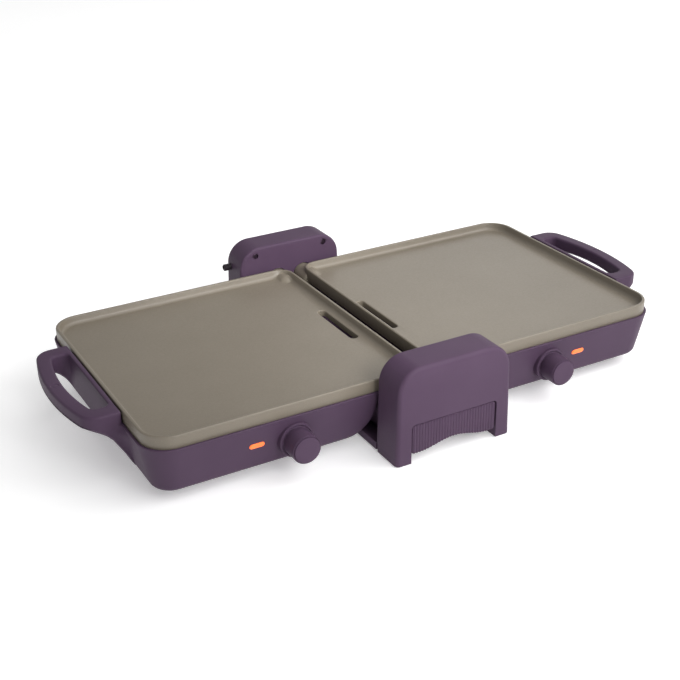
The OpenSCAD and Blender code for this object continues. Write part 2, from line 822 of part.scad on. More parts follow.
on_side("left") griddle_plate();  // left_griddle_plate
on_side("right") griddle_plate();  // right_griddle_plate
on_side("left") base_shell();  // left_base_shell
on_side("right") base_shell();  // right_base_shell
on_side("left") heating_element();  // left_heating_element
on_side("right") heating_element();  // right_heating_element
on_side("left") element_clips();  // left_element_clips
on_side("right") element_clips();  // right_element_clips
on_side("left") heat_shield();  // left_heat_shield
on_side("right") heat_shield();  // right_heat_shield
on_side("left") thermostat();  // left_thermostat
on_side("right") thermostat();  // right_thermostat
on_side("left") thermostat_shaft();  // left_thermostat_shaft
on_side("right") thermostat_shaft();  // right_thermostat_shaft
on_side("left") knob();  // left_knob
on_side("right") knob();  // right_knob
on_side("left") knob_ring();  // left_knob_ring
on_side("right") knob_ring();  // right_knob_ring
on_side("left") indicator_lens();  // left_indicator_lens
on_side("right") indicator_lens();  // right_indicator_lens
on_side("left") indicator_lamp();  // left_indicator_lamp
on_side("right") indicator_lamp();  // right_indicator_lamp
on_side("left") terminal_block();  // left_terminal_block
on_side("right") terminal_block();  // right_terminal_block
on_side("left") lead_wires();  // left_lead_wires
on_side("right") lead_wires();  // right_lead_wires
on_side("left") hinge_pins();  // left_hinge_pins
on_side("right") hinge_pins();  // right_hinge_pins
on_side("left") feet();  // left_feet
on_side("right") feet();  // right_feet
on_side("left") plate_screws();  // left_plate_screws
on_side("right") plate_screws();  // right_plate_screws
center_base();
front_tower();
rear_tower();
mirror([0, 1, 0]) inner_cover(true);  // front_inner_cover
inner_cover(false);  // rear_inner_cover
mirror([0, 1, 0]) hinge_bushes();  // front_hinge_bushes
hinge_bushes();  // rear_hinge_bushes
cover_screws();
base_screws();
base_feet();
drip_tray();
tray_front();
cord_gland();
junction_block();
junction_wires();
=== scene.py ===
import math

import bmesh
import bpy
from mathutils import Matrix, Vector


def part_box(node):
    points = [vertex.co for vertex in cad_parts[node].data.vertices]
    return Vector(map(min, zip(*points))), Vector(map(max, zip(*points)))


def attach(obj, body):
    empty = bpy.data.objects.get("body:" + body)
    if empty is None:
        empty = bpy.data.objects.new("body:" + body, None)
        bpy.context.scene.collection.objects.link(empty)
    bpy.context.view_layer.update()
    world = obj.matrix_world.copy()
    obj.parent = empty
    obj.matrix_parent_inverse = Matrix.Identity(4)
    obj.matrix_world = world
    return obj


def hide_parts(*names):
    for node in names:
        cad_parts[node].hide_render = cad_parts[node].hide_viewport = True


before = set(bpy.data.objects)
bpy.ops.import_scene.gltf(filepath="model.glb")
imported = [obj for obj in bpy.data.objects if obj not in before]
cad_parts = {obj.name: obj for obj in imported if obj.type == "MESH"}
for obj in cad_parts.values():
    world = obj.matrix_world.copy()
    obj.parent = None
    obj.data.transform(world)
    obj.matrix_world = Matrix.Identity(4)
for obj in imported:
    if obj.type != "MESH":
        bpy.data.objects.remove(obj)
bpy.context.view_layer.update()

# Shapes are drawn in millimetres, for the right-hand half (X > 0), and mirrored for the left.
MM = 0.001
# Points closer than this, in metres, are joined: in new meshes, in finished pieces, in CAD copies
WELD_NEW = 0.00001
WELD_PIECE = 0.000004
WELD_COPY = 0.000002
# A turned part's first and last radius, which closes it without a hole down its axis
TIP_R = 0.01


# ---------------------------------------------------------------- camera, stage and light
# Place in metres, angles in degrees, lens and sensor in millimetres
CAMERA_AT = (-0.5417, -0.9411, 0.5751)
CAMERA_AZIMUTH = 29.086
CAMERA_ELEVATION = 26.377
CAMERA_ROLL = -0.767
CAMERA_LENS = 63.5
CAMERA_SENSOR = 36
CAMERA_REACH = 20

WORLD_STRENGTH = 0.40
SUN_STRENGTH = 1.05
SUN_SPREAD = 60
SUN_FROM = (0.4, -0.7, 1.15)
FLOOR_SIZE = 24
FLOOR_CELLS = 8
# Softboxes: place, the point each one faces, size in metres, power in watts, spread in degrees
SOFTBOXES = {
    "back_softbox": ((1.5, 1.4, 1.0), (0.2, 0, 0.06), (1.4, 0.9), 5, 180),
    "front_softbox": ((0.6, -1.8, 1.2), (0, 0, 0.05), (2.0, 1.5), 12, 180),
    "right_softbox": ((0.75, -0.45, 0.75), (0.2, 0, 0.06), (0.8, 0.8), 5, 180),
    "tower_fill": ((0.0, -0.6, 0.42), (0, 0.15, 0.085), (0.3, 0.2), 0.33, 44),
}


def make_camera():
    azimuth, elevation = math.radians(CAMERA_AZIMUTH), math.radians(CAMERA_ELEVATION)
    forward = Vector((
        math.sin(azimuth) * math.cos(elevation),
        math.cos(azimuth) * math.cos(elevation),
        -math.sin(elevation),
    ))
    camera = bpy.data.objects.new("camera", bpy.data.cameras.new("camera"))
    bpy.context.scene.collection.objects.link(camera)
    camera.data.lens = CAMERA_LENS
    camera.data.sensor_width = CAMERA_SENSOR
    camera.data.clip_end = CAMERA_REACH
    look = forward.to_track_quat("-Z", "Y").to_matrix().to_4x4()
    roll = Matrix.Rotation(math.radians(CAMERA_ROLL), 4, "Z")
    camera.matrix_world = Matrix.Translation(CAMERA_AT) @ look @ roll
    bpy.context.scene.camera = camera


def make_area_light(name, place, aim, size, power, spread):
    data = bpy.data.lights.new(name, "AREA")
    data.shape = "RECTANGLE"
    data.size, data.size_y = size
    data.energy = power
    data.spread = math.radians(spread)
    light = bpy.data.objects.new(name, data)
    bpy.context.scene.collection.objects.link(light)
    light.location = place
    light.rotation_euler = (Vector(aim) - Vector(place)).to_track_quat("-Z", "Y").to_euler()


def make_stage():
    world = bpy.data.worlds.new("studio")
    bpy.context.scene.world = world
    world.use_nodes = True
    background = world.node_tree.nodes["Background"]
    background.inputs["Color"].default_value = (1, 1, 1, 1)
    background.inputs["Strength"].default_value = WORLD_STRENGTH
    bpy.context.scene.view_settings.view_transform = "Standard"
    sun = bpy.data.lights.new("key_sun", "SUN")
    sun.energy, sun.angle = SUN_STRENGTH, math.radians(SUN_SPREAD)
    key = bpy.data.objects.new("key_sun", sun)
    bpy.context.scene.collection.objects.link(key)
    key.rotation_euler = Vector(SUN_FROM).to_track_quat("Z", "Y").to_euler()
    for name, (place, aim, size, power, spread) in SOFTBOXES.items():
        make_area_light(name, place, aim, size, power, spread)
    bpy.ops.mesh.primitive_grid_add(
        x_subdivisions=FLOOR_CELLS, y_subdivisions=FLOOR_CELLS, size=FLOOR_SIZE, location=(0, 0, 0))
    floor = bpy.context.object
    floor.name = "floor"
    floor.data.materials.append(make_floor_material())


# ---------------------------------------------------------------- materials
# Colours are linear; where there are two, the surface clouds softly from one to the other
FLOOR_WHITE = ((0.92, 0.92, 0.92), (0.94, 0.94, 0.94))
FLOOR_GLOW = 0.3
PLATE_GREY = ((0.170, 0.145, 0.111), (0.189, 0.163, 0.127))
PLATE_SPECK = (0.29, 0.255, 0.21)
PLUM = ((0.070, 0.042, 0.074), (0.078, 0.0475, 0.082))
PHENOLIC_BROWN = ((0.02, 0.016, 0.014), (0.035, 0.028, 0.024))
RUBBER_BLACK = ((0.024, 0.019, 0.024), (0.036, 0.029, 0.036))
SLEEVE_BLACK = ((0.02, 0.02, 0.02), (0.07, 0.065, 0.06))
LENS_AMBER = ((0.88, 0.15, 0.02), (0.95, 0.21, 0.035))
LENS_GLOW = ((1.0, 0.10, 0.01), (1.0, 0.16, 0.02))
LENS_GLOW_STRENGTH = 0.5
GLASS_AMBER = ((1.0, 0.55, 0.3), (1.0, 0.7, 0.5))
SHEATH_STEEL = (0.36, 0.33, 0.30)
PLATED_STEEL = (0.62, 0.62, 0.60)
# Black oxide screw heads, tinted dark plum as painted shade of the tower wells they sit in
BLACKENED_STEEL_AND_WELL_SHADE = (0.075, 0.05, 0.075)
SHIELD_STEEL = (0.66, 0.66, 0.66)
BRONZE = (0.50, 0.31, 0.14)
PLASTIC_SPECULAR = 0.13


def new_material(name):
    material = bpy.data.materials.new(name)
    material.use_nodes = True
    tree = material.node_tree
    return material, tree, tree.nodes["Principled BSDF"]


def object_coordinates(tree, scale=(1, 1, 1)):
    place = tree.nodes.new("ShaderNodeTexCoord")
    mapping = tree.nodes.new("ShaderNodeMapping")
    mapping.inputs["Scale"].default_value = scale
    tree.links.new(place.outputs["Object"], mapping.inputs["Vector"])
    return mapping.outputs["Vector"]


def noise(tree, vector, scale, detail=3, roughness=0.5):
    node = tree.nodes.new("ShaderNodeTexNoise")
    node.inputs["Scale"].default_value = scale
    node.inputs["Detail"].default_value = detail
    node.inputs["Roughness"].default_value = roughness
    tree.links.new(vector, node.inputs["Vector"])
    return node.outputs["Fac"]


def ramp(tree, value, low, high, start=0.3, end=0.7):
    node = tree.nodes.new("ShaderNodeMapRange")
    node.inputs["From Min"].default_value = start
    node.inputs["From Max"].default_value = end
    node.inputs["To Min"].default_value = low
    node.inputs["To Max"].default_value = high
    tree.links.new(value, node.inputs["Value"])
    return node.outputs["Result"]


def mix_colours(tree, factor, first, second):
    node = tree.nodes.new("ShaderNodeMix")
    node.data_type = "RGBA"
    node.inputs["A"].default_value = (*first, 1)
    node.inputs["B"].default_value = (*second, 1)
    tree.links.new(factor, node.inputs["Factor"])
    return node.outputs["Result"]


def bump(tree, shader, height, strength, distance):
    node = tree.nodes.new("ShaderNodeBump")
    node.inputs["Strength"].default_value = strength
    node.inputs["Distance"].default_value = distance
    tree.links.new(height, node.inputs["Height"])
    tree.links.new(node.outputs["Normal"], shader.inputs["Normal"])


def make_floor_material():
    material, tree, shader = new_material("floor_white")
    vector = object_coordinates(tree)
    cloud = noise(tree, vector, scale=3)
    tree.links.new(mix_colours(tree, cloud, *FLOOR_WHITE), shader.inputs["Base Color"])
    shader.inputs["Roughness"].default_value = 0.6
    shader.inputs["Emission Color"].default_value = (1, 1, 1, 1)
    shader.inputs["Emission Strength"].default_value = FLOOR_GLOW
    return material


def make_grained_material(name, colours, roughness, grain, grain_depth):
    """A moulded or coated surface: soft colour clouds, fine grain in the bump, uneven gloss."""
    material, tree, shader = new_material(name)
    vector = object_coordinates(tree)
    cloud = noise(tree, vector, scale=18, detail=4)
    speck = noise(tree, vector, scale=grain, detail=2, roughness=0.6)
    tree.links.new(mix_colours(tree, ramp(tree, cloud, 0, 1), *colours), shader.inputs["Base Color"])
    tree.links.new(ramp(tree, speck, roughness - 0.05, roughness + 0.06), shader.inputs["Roughness"])
    shader.inputs["Specular IOR Level"].default_value = PLASTIC_SPECULAR
    bump(tree, shader, speck, strength=0.35, distance=grain_depth)
    return material


def make_plate_material():
    """Matt ceramic coating: warm grey, very fine mineral speckle, a faint orange-peel surface."""
    material, tree, shader = new_material("coated_plate")
    vector = object_coordinates(tree)
    cloud = noise(tree, vector, scale=9, detail=4)
    speckle = noise(tree, vector, scale=1400, detail=2, roughness=0.7)
    peel = noise(tree, vector, scale=420)
    base = mix_colours(tree, ramp(tree, cloud, 0, 1), *PLATE_GREY)
    spots = tree.nodes.new("ShaderNodeMix")
    spots.data_type = "RGBA"
    spots.inputs["B"].default_value = (*PLATE_SPECK, 1)
    tree.links.new(ramp(tree, speckle, 0, 0.5, start=0.58, end=0.74), spots.inputs["Factor"])
    tree.links.new(base, spots.inputs["A"])
    tree.links.new(spots.outputs["Result"], shader.inputs["Base Color"])
    tree.links.new(ramp(tree, peel, 0.36, 0.46), shader.inputs["Roughness"])
    bump(tree, shader, peel, strength=0.25, distance=0.00012)
    return material


def make_metal_material(name, colour, roughness, stretch):
    """Bare metal with fine lines drawn along one axis."""
    material, tree, shader = new_material(name)
    vector = object_coordinates(tree, stretch)
    lines = noise(tree, vector, scale=600, detail=4, roughness=0.7)
    dark = tuple(c * 0.82 for c in colour)
    tree.links.new(mix_colours(tree, lines, dark, colour), shader.inputs["Base Color"])
    shader.inputs["Metallic"].default_value = 1.0
    tree.links.new(ramp(tree, lines, roughness - 0.08, roughness + 0.1), shader.inputs["Roughness"])
    bump(tree, shader, lines, strength=0.2, distance=0.00005)
    return material


def make_sleeve_material():
    """Braided wire sleeve: crossing waves a strand wide."""
    material, tree, shader = new_material("wire_sleeve")
    vector = object_coordinates(tree)
    waves = []
    for turn in (45, -45):
        wave = tree.nodes.new("ShaderNodeTexWave")
        wave.inputs["Scale"].default_value = 260
        spin = tree.nodes.new("ShaderNodeMapping")
        spin.inputs["Rotation"].default_value = [math.radians(turn)] * 3
        tree.links.new(vector, spin.inputs["Vector"])
        tree.links.new(spin.outputs["Vector"], wave.inputs["Vector"])
        waves.append(wave.outputs["Fac"])
    weave = tree.nodes.new("ShaderNodeMath")
    weave.operation = "MAXIMUM"
    tree.links.new(waves[0], weave.inputs[0])
    tree.links.new(waves[1], weave.inputs[1])
    tree.links.new(mix_colours(tree, weave.outputs[0], *SLEEVE_BLACK), shader.inputs["Base Color"])
    shader.inputs["Roughness"].default_value = 0.7
    bump(tree, shader, weave.outputs[0], strength=0.6, distance=0.0002)
    return material


def make_lens_material():
    """Lit amber lens, slightly hazy inside."""
    material, tree, shader = new_material("amber_lens")
    vector = object_coordinates(tree)
    haze = noise(tree, vector, scale=260, detail=2)
    tree.links.new(mix_colours(tree, haze, *LENS_AMBER), shader.inputs["Base Color"])
    tree.links.new(mix_colours(tree, haze, *LENS_GLOW), shader.inputs["Emission Color"])
    shader.inputs["Emission Strength"].default_value = LENS_GLOW_STRENGTH
    shader.inputs["Roughness"].default_value = 0.3
    shader.inputs["Coat Weight"].default_value = 0.3
    bump(tree, shader, haze, strength=0.1, distance=0.0001)
    return material


def make_glass_material():
    material, tree, shader = new_material("lamp_glass")
    vector = object_coordinates(tree)
    haze = noise(tree, vector, scale=300)
    tree.links.new(mix_colours(tree, haze, *GLASS_AMBER), shader.inputs["Base Color"])
    shader.inputs["Transmission Weight"].default_value = 0.8
    shader.inputs["Roughness"].default_value = 0.1
    return material


def make_materials():
    """One material per slot: grained ones by roughness, grain and its depth, metals by line stretch."""
    grained = {
        "plum_plastic": (PLUM, 0.5, 2600, 0.00008),
        "knob_plastic": (PLUM, 0.44, 2600, 0.00006),
        "phenolic": (PHENOLIC_BROWN, 0.4, 900, 0.0001),
        "rubber": (RUBBER_BLACK, 0.62, 1500, 0.0002),
    }
    metals = {
        "sheath_steel": (SHEATH_STEEL, 0.45, (0.1, 1, 1)),
        "plated_steel": (PLATED_STEEL, 0.28, (1, 0.1, 1)),
        "blackened_steel": (BLACKENED_STEEL_AND_WELL_SHADE, 0.5, (1, 1, 1)),
        "shield_steel": (SHIELD_STEEL, 0.3, (0.05, 1, 1)),
        "bronze": (BRONZE, 0.4, (1, 1, 1)),
    }
    materials = {
        "coated_plate": make_plate_material(),
        "wire_sleeve": make_sleeve_material(),
        "amber_lens": make_lens_material(),
        "lamp_glass": make_glass_material(),
    }
    materials.update({name: make_grained_material(name, *recipe) for name, recipe in grained.items()})
    materials.update({name: make_metal_material(name, *recipe) for name, recipe in metals.items()})
    return materials


# ---------------------------------------------------------------- mesh helpers
def arc(cx, cy, r, start, end, steps):
    """Points on a circle from start to end, in degrees."""
    angles = [math.radians(start + (end - start) * i / steps) for i in range(steps + 1)]
    return [(cx + r * math.cos(a), cy + r * math.sin(a)) for a in angles]


def loft(rings, closed=False):
    """Vertices and faces of a skin over rings of equal length, capped at both ends or closed on itself."""
    count = len(rings[0])
    verts = [p for ring in rings for p in ring]
    faces = []
    last = len(rings) if closed else len(rings) - 1
    for k in range(last):
        a, b = k * count, ((k + 1) % len(rings)) * count
        for i in range(count):
            j = (i + 1) % count
            faces.append((a + i, a + j, b + j, b + i))
    if not closed:
        faces.append(tuple(reversed(range(count))))
        faces.append(tuple((len(rings) - 1) * count + i for i in range(count)))
    return verts, faces


def new_object(name, verts, faces):
    """A mesh object from points in millimetres, with its faces turned outwards."""
    mesh = bpy.data.meshes.new(name)
    mesh.from_pydata([(x * MM, y * MM, z * MM) for x, y, z in verts], [], faces)
    built = bpy.data.objects.new(name, mesh)
    bpy.context.scene.collection.objects.link(built)
    work = bmesh.new()
    work.from_mesh(mesh)
    bmesh.ops.remove_doubles(work, verts=work.verts, dist=WELD_NEW)
    bmesh.ops.recalc_face_normals(work, faces=work.faces)
    work.to_mesh(mesh)
    work.free()
    return built


def apply_modifiers(piece):
    bpy.context.view_layer.update()
    evaluated = piece.evaluated_get(bpy.context.evaluated_depsgraph_get())
    result = bpy.data.meshes.new_from_object(evaluated)
    piece.modifiers.clear()
    piece.data = result


def boolean(target, tool, operation):
    """Cuts, merges or intersects target with tool, and removes the tool."""
    modifier = target.modifiers.new("cut", "BOOLEAN")
    modifier.operation = operation
    modifier.solver = "EXACT"
    modifier.object = tool
    apply_modifiers(target)
    bpy.data.objects.remove(tool)


def cut(target, *tools):
    for tool in tools:
        boolean(target, tool, "DIFFERENCE")


def merge(target, *tools):
    for tool in tools:
        boolean(target, tool, "UNION")


def tidy_mesh(piece, angle=32):
    """Joins stray double points and shades the piece smooth, with creases sharper than angle kept."""
    work = bmesh.new()
    work.from_mesh(piece.data)
    bmesh.ops.remove_doubles(work, verts=work.verts, dist=WELD_PIECE)
    bmesh.ops.dissolve_degenerate(work, edges=work.edges, dist=WELD_PIECE)
    work.to_mesh(piece.data)
    work.free()
    piece.data.shade_smooth()
    piece.data.set_sharp_from_angle(angle=math.radians(angle))


def finish_piece(piece, body, material, *nodes, angle=32):
    """Shades a piece, gives it its material, and seats it on its body in place of the CAD nodes."""
    tidy_mesh(piece, angle)
    piece.data.materials.clear()
    piece.data.materials.append(MATERIALS[material])
    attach(piece, body)
    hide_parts(*nodes)


def mirrored(piece, name):
    """A copy of piece on the other side of the middle plane, with its faces turned back outwards."""
    mesh = piece.data.copy()
    mesh.name = name
    mesh.transform(Matrix.Scale(-1, 4, (1, 0, 0)))
    mesh.flip_normals()
    copy = bpy.data.objects.new(name, mesh)
    bpy.context.scene.collection.objects.link(copy)
    return copy


def for_both_halves(build, piece_name, part, material, node):
    """Builds a piece of the right half once, mirrors it, and seats both on their bodies."""
    right = build("right_" + piece_name)
    left = mirrored(right, "left_" + piece_name)
    for side, piece in (("right", right), ("left", left)):
        finish_piece(piece, f"{side}_{part}", material, f"{side}_{node}")


def turned(name, profile, place, axis, steps=48):
    """A turned part: profile is (radius, height) from one end to the other, along axis from place."""
    turn = Vector((0, 0, 1)).rotation_difference(Vector(axis)).to_matrix()
    rings = []
    for radius, height in profile:
        ring = []
        for i in range(steps):
            a = 2 * math.pi * i / steps
            p = turn @ Vector((radius * math.cos(a), radius * math.sin(a), height)) + Vector(place)
            ring.append(tuple(p))
        rings.append(ring)
    return new_object(name, *loft(rings))


def mm_box(node):
    """A CAD node's low and high corners, in millimetres."""
    low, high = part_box(node)
    return low / MM, high / MM


def join(pieces, name="tools"):
    """One mesh object out of several that don't touch each other."""
    verts, faces = [], []
    for piece in pieces:
        start = len(verts)
        verts += [tuple(v.co) for v in piece.data.vertices]
        faces += [tuple(start + i for i in p.vertices) for p in piece.data.polygons]
        bpy.data.objects.remove(piece)
    mesh = bpy.data.meshes.new(name)
    mesh.from_pydata(verts, [], faces)
    joined = bpy.data.objects.new(name, mesh)
    bpy.context.scene.collection.objects.link(joined)
    return joined


def node_copy(node, name):
    """A new object with a copy of a CAD node's mesh, its flat faces joined up."""
    source = bpy.data.objects[node]
    piece = bpy.data.objects.new(name, source.data.copy())
    bpy.context.scene.collection.objects.link(piece)
    piece.data.materials.clear()
    work = bmesh.new()
    work.from_mesh(piece.data)
    bmesh.ops.remove_doubles(work, verts=work.verts, dist=WELD_COPY)
    bmesh.ops.dissolve_limit(work, angle_limit=math.radians(0.5), verts=work.verts, edges=work.edges)
    work.to_mesh(piece.data)
    work.free()
    return piece


def y_drum(name, x, z, profile, steps=48):
    """A part turned about an axis along Y: profile is (radius, y) from front to back."""
    return turned(name, profile, (x, 0, z), (0, 1, 0), steps)


def z_drum(name, x, y, profile, steps=32):
    """A part turned about an upright axis: profile is (radius, z) from the bottom up."""
    return turned(name, profile, (x, y, 0), (0, 0, 1), steps)


def smoothstep(t):
    """0 below 0, 1 above 1, and a soft S between."""
    t = min(max(t, 0.0), 1.0)
    return t * t * (3 - 2 * t)


# ---------------------------------------------------------------- sizes, the outer ones from the frame
PLATE_HIGH = mm_box("right_griddle_plate")[1]
SHELL_LOW, SHELL_HIGH = mm_box("right_base_shell")
TOWER_LOW, TOWER_HIGH = mm_box("rear_tower")
PIN_LOW, PIN_HIGH = mm_box("right_hinge_pins")

# Griddle plate
PLATE_X0 = 8
PLATE_X1 = PLATE_HIGH.x
PLATE_Y = 135
PLATE_OUTER_R = 26
PLATE_INNER_R = 16
RIM_Z = PLATE_HIGH.z
SKIRT_Z = 55
FLOOR_Z = RIM_Z - 8
UNDER_Z = FLOOR_Z - 4
SLOT_AT = (22.5, -3)
SLOT_SIZE = (72, 8.6)
POSTS = ((78, 100), (78, -100), (166, 108), (166, -104), (248, 60), (248, -60))
POST_TOP = UNDER_Z - 7.5

# Hinge
HINGE_X = (PIN_LOW.x + PIN_HIGH.x) / 2
HINGE_Z = (PIN_LOW.z + PIN_HIGH.z) / 2
LUG_R = 11
LUG_IN = 118
LUG_OUT = 146.95
LUG_RUN_UP = 7
PIN_BORE_R = 6.02
WIRE_HOLE_R = 3.9

# Base
LIP_Z = 57.2
LIP_OUT = 2.5
BASE_Z = SHELL_LOW.z
SHELL_X0 = SHELL_LOW.x
SHELL_X1 = PLATE_X1 + LIP_OUT
SHELL_Y = SHELL_HIGH.y
WALL_SLOPE = 0.2001
BASE_DRAFT = 8
EDGE_R = 8
EDGE_TURN = 10
NOSE_R = 32
WALL = 2.2
SEAT_GAP = 0.3
SCREW_WAY_R = 2.2

# Knobs and indicators
KNOB_X = 139
KNOB_Z = 33
KNOB_R = 13.7
RING_R = 16.5
LENS_X = 175.5
LENS_Z = 36.7

# Feet, posts, shelf and the wires' way in
FOOT_X = 238
FOOT_Y = 98
FOOT_R = 9
FOOT_STUD_R = 3.9
POST_R = 5
SHELF_T = 4
WIRE_WAY_Y = (94, 106)
WIRE_WAY_H = 5

# Handle: its outline, its opening, and the arc of its underside
HANDLE_X1 = SHELL_HIGH.x
HANDLE_Y = 74
HANDLE_IN = PLATE_X1 + 1.5
OPENING_X0 = PLATE_X1 + 6
OPENING_Y = 57
BOW_R = 235
BOW_X = HANDLE_X1 - BOW_R
OPENING_BOW_R = 221
SWEEP_X = 312
SWEEP_Z = 20
SWEEP_R = 37.3
SWEEP_FOOT_X = 265
SWEEP_FOOT_Z = 13
GRIP_X = HANDLE_X1 - 7
MARK_R = 4.1

# Towers and inner covers
TOWER_HALF_W = 61.6
TOWER_DRAFT_DEGREES = 1.7
TOWER_DRAFT = math.radians(TOWER_DRAFT_DEGREES)
TOWER_R = 24
TOWER_FOOT_R = 0.4
TOWER_EDGE_R = 4.0
TOWER_TOP = TOWER_HIGH.z
TOWER_BOTTOM = TOWER_LOW.z
TOWER_Y = TOWER_HIGH.y
COVER_Y = mm_box("rear_inner_cover")[0].y
COVER_T = 3
COVER_EDGE_R = 2.5
COVER_BOTTOM = 9.2
WELL_X = 41
WELL_Z = TOWER_TOP - 9
LOW_SCREW_Z = 26
STAND_SCREW_R = 2.9
STAND_SHANK_R = 1.45
BASE_FOOT_R = 5
# The edges of the drip tray and the centre base
SOFT_EDGE = 0.7


# ---------------------------------------------------------------- griddle plates
def plate_ring(inset, z):
    """Outline of the plate, inset all round; the points crowd near the hinge lugs."""
    x0, x1, y = PLATE_X0 + inset, PLATE_X1 - inset, PLATE_Y - inset
    outer = max(PLATE_OUTER_R - inset, 3)
    inner = max(PLATE_INNER_R - inset, 0.6)
    near = [0, 0.02, 0.04, 0.06, 0.08, 0.12, 0.3, 0.6, 1]
    along_x = [x0 + inner + (x1 - outer - x0 - inner) * t for t in near]
    near_y = [1, 0.985, 0.965, 0.945, 0.925, 0.905, 0.885, 0.865, 0.84, 0.8, 0.6, 0.3]
    along_y = [(y - inner) * t for t in near_y]
    points = [(x, y) for x in reversed(along_x)][1:-1]
    points += arc(x0 + inner, y - inner, inner, 90, 180, 5)
    points += [(x0, v) for v in along_y[1:]] + [(x0, 0)] + [(x0, -v) for v in reversed(along_y[1:])]
    points += arc(x0 + inner, -y + inner, inner, 180, 270, 5)
    points += [(x, -y) for x in along_x][1:-1]
    points += arc(x1 - outer, -y + outer, outer, 270, 360, 12)
    points += [(x1, 0)]
    points += arc(x1 - outer, y - outer, outer, 0, 90, 12)
    return [(px, py, z) for px, py in points]


def lug_height(x, y):
    """Top of the rounded lug under the cooking surface at (x, y); low where there is none."""
    nose, absent = 10, HINGE_Z - 20
    reach = abs(y) - (LUG_IN - LUG_RUN_UP)
    r = (LUG_R - 0.2) * math.sqrt(max(0.0, 1 - max(0.0, 1 - reach / nose) ** 2)) if reach > 0 else 0.0
    across = r * r - (x - HINGE_X) ** 2
    return HINGE_Z + math.sqrt(across) if across > 0 else absent


def smooth_max(a, b, soft):
    """The larger of a and b, with a rounded change-over soft wide."""
    h = min(max(0.5 + 0.5 * (a - b) / soft, 0.0), 1.0)
    return b + (a - b) * h + soft * h * (1 - h)


def build_plate(name):
    # Up the outside, over the rim, and down the fillet to the cooking surface
    rim_t, top_r, in_r, fillet = 3.0, 1.3, 1.0, 4.5
    foot = rim_t + 0.9
    stations = [(rim_t, UNDER_Z), (rim_t, SKIRT_Z + 0.6), (rim_t - 0.6, SKIRT_Z)]
    stations += [(0.9, SKIRT_Z), (0.3, SKIRT_Z + 0.25), (0.05, SKIRT_Z + 0.9), (0.0, RIM_Z - top_r - 2)]
    stations += [(top_r * (1 - math.cos(a)), RIM_Z - top_r * (1 - math.sin(a)))
                 for a in (math.radians(15 * i) for i in range(7))]
    stations += [(rim_t + 0.2 - in_r + in_r * math.sin(a), RIM_Z - in_r * (1 - math.cos(a)))
                 for a in (math.radians(15 * i) for i in range(6))]
    stations += [(foot + fillet * (1 - math.cos(a)), FLOOR_Z + fillet * (1 - math.sin(a)))
                 for a in (math.radians(10 + 16 * i) for i in range(6))]
    stations += [(inset, FLOOR_Z) for inset in (10, 11.5, 13, 14.5, 16, 17.5, 19, 21, 24)]
    rings = []
    for inset, z in stations:
        ring = plate_ring(inset, z)
        if inset > rim_t + 0.5 and z < RIM_Z - 1:
            ring = [(x, y, smooth_max(z, lug_height(x, y), 2.2)) for x, y, z in ring]
        rings.append(ring)
    plate = new_object(name, *loft(rings))
    lug = [(TIP_R, LUG_IN), (LUG_R - 3, LUG_IN), (LUG_R - 1.2, LUG_IN + 0.6), (LUG_R - 0.3, LUG_IN + 1.6),
           (LUG_R, LUG_IN + 3), (LUG_R, LUG_OUT - 0.8), (LUG_R - 0.8, LUG_OUT), (TIP_R, LUG_OUT)]
    lugs = [y_drum("lug", HINGE_X, HINGE_Z, [(r, s * y) for r, y in lug]) for s in (-1, 1)]
    bore = [(PIN_BORE_R, LUG_IN + 4), (PIN_BORE_R, LUG_OUT + 1)]
    bores = [y_drum("bore", HINGE_X, HINGE_Z, [(r, s * y) for r, y in bore]) for s in (-1, 1)]
    wire_way = y_drum("wire_way", HINGE_X, HINGE_Z, [(WIRE_HOLE_R, LUG_IN - 4), (WIRE_HOLE_R, LUG_IN + 4.5)])
    boss = [(TIP_R, POST_TOP + 0.2), (3.8, POST_TOP + 0.2), (4.4, POST_TOP + 0.8), (4.6, UNDER_Z - 1.5),
            (5.6, UNDER_Z + 0.4), (TIP_R, UNDER_Z + 0.4)]
    bosses = [z_drum("boss", x, y, boss, 24) for x, y in POSTS]
    screw_ways = [z_drum("screw_way", x, y, [(1.6, POST_TOP - 1), (1.6, UNDER_Z + 1)], 16) for x, y in POSTS]
    merge(plate, join(lugs))
    merge(plate, join(bosses + [pill_prism([(2.0, SKIRT_Z), (2.0, FLOOR_Z - 1)])]))
    mouth_r = 1.2
    mouth = [(0, SKIRT_Z - 1), (0, FLOOR_Z - mouth_r)]
    mouth += [(mouth_r * (1 - math.cos(a)), FLOOR_Z - mouth_r + mouth_r * math.sin(a))
              for a in (math.radians(18 * i) for i in range(1, 6))]
    mouth += [(1.4, FLOOR_Z + 0.5)]
    cut(plate, join([pill_prism(mouth)] + bores), join([wire_way] + screw_ways))
    return plate


def pill_prism(stations, steps=12):
    """The drain slot's outline, grown by each station's first value, at its second value in height."""
    (slot_x, slot_y), (length, width) = SLOT_AT, SLOT_SIZE
    half = (length - width) / 2
    rings = []
    for grow, z in stations:
        r = width / 2 + grow
        outline = arc(slot_x, slot_y + half, r, 0, 180, steps)
        outline += arc(slot_x, slot_y - half, r, 180, 360, steps)
        rings.append([(x, y, z) for x, y in outline])
    return new_object("slot", *loft(rings))


# ---------------------------------------------------------------- base shells with their handles
def wall_inset(z):
    """How far the base's walls stand in from the lip at height z."""
    turn_z = BASE_Z + EDGE_R * (1 - math.sin(math.radians(EDGE_TURN)))
    if z >= turn_z:
        return (LIP_Z - z) * WALL_SLOPE
    return BASE_DRAFT + EDGE_R - math.sqrt(max(0.0, EDGE_R ** 2 - (BASE_Z + EDGE_R - z) ** 2))


def nose_x(z):
    """Inner end of the base at height z, rounded off in side view."""
    centre = BASE_Z + NOSE_R
    if z >= centre:
        return SHELL_X0
    return SHELL_X0 + NOSE_R - math.sqrt(max(0.0, NOSE_R ** 2 - (centre - z) ** 2))


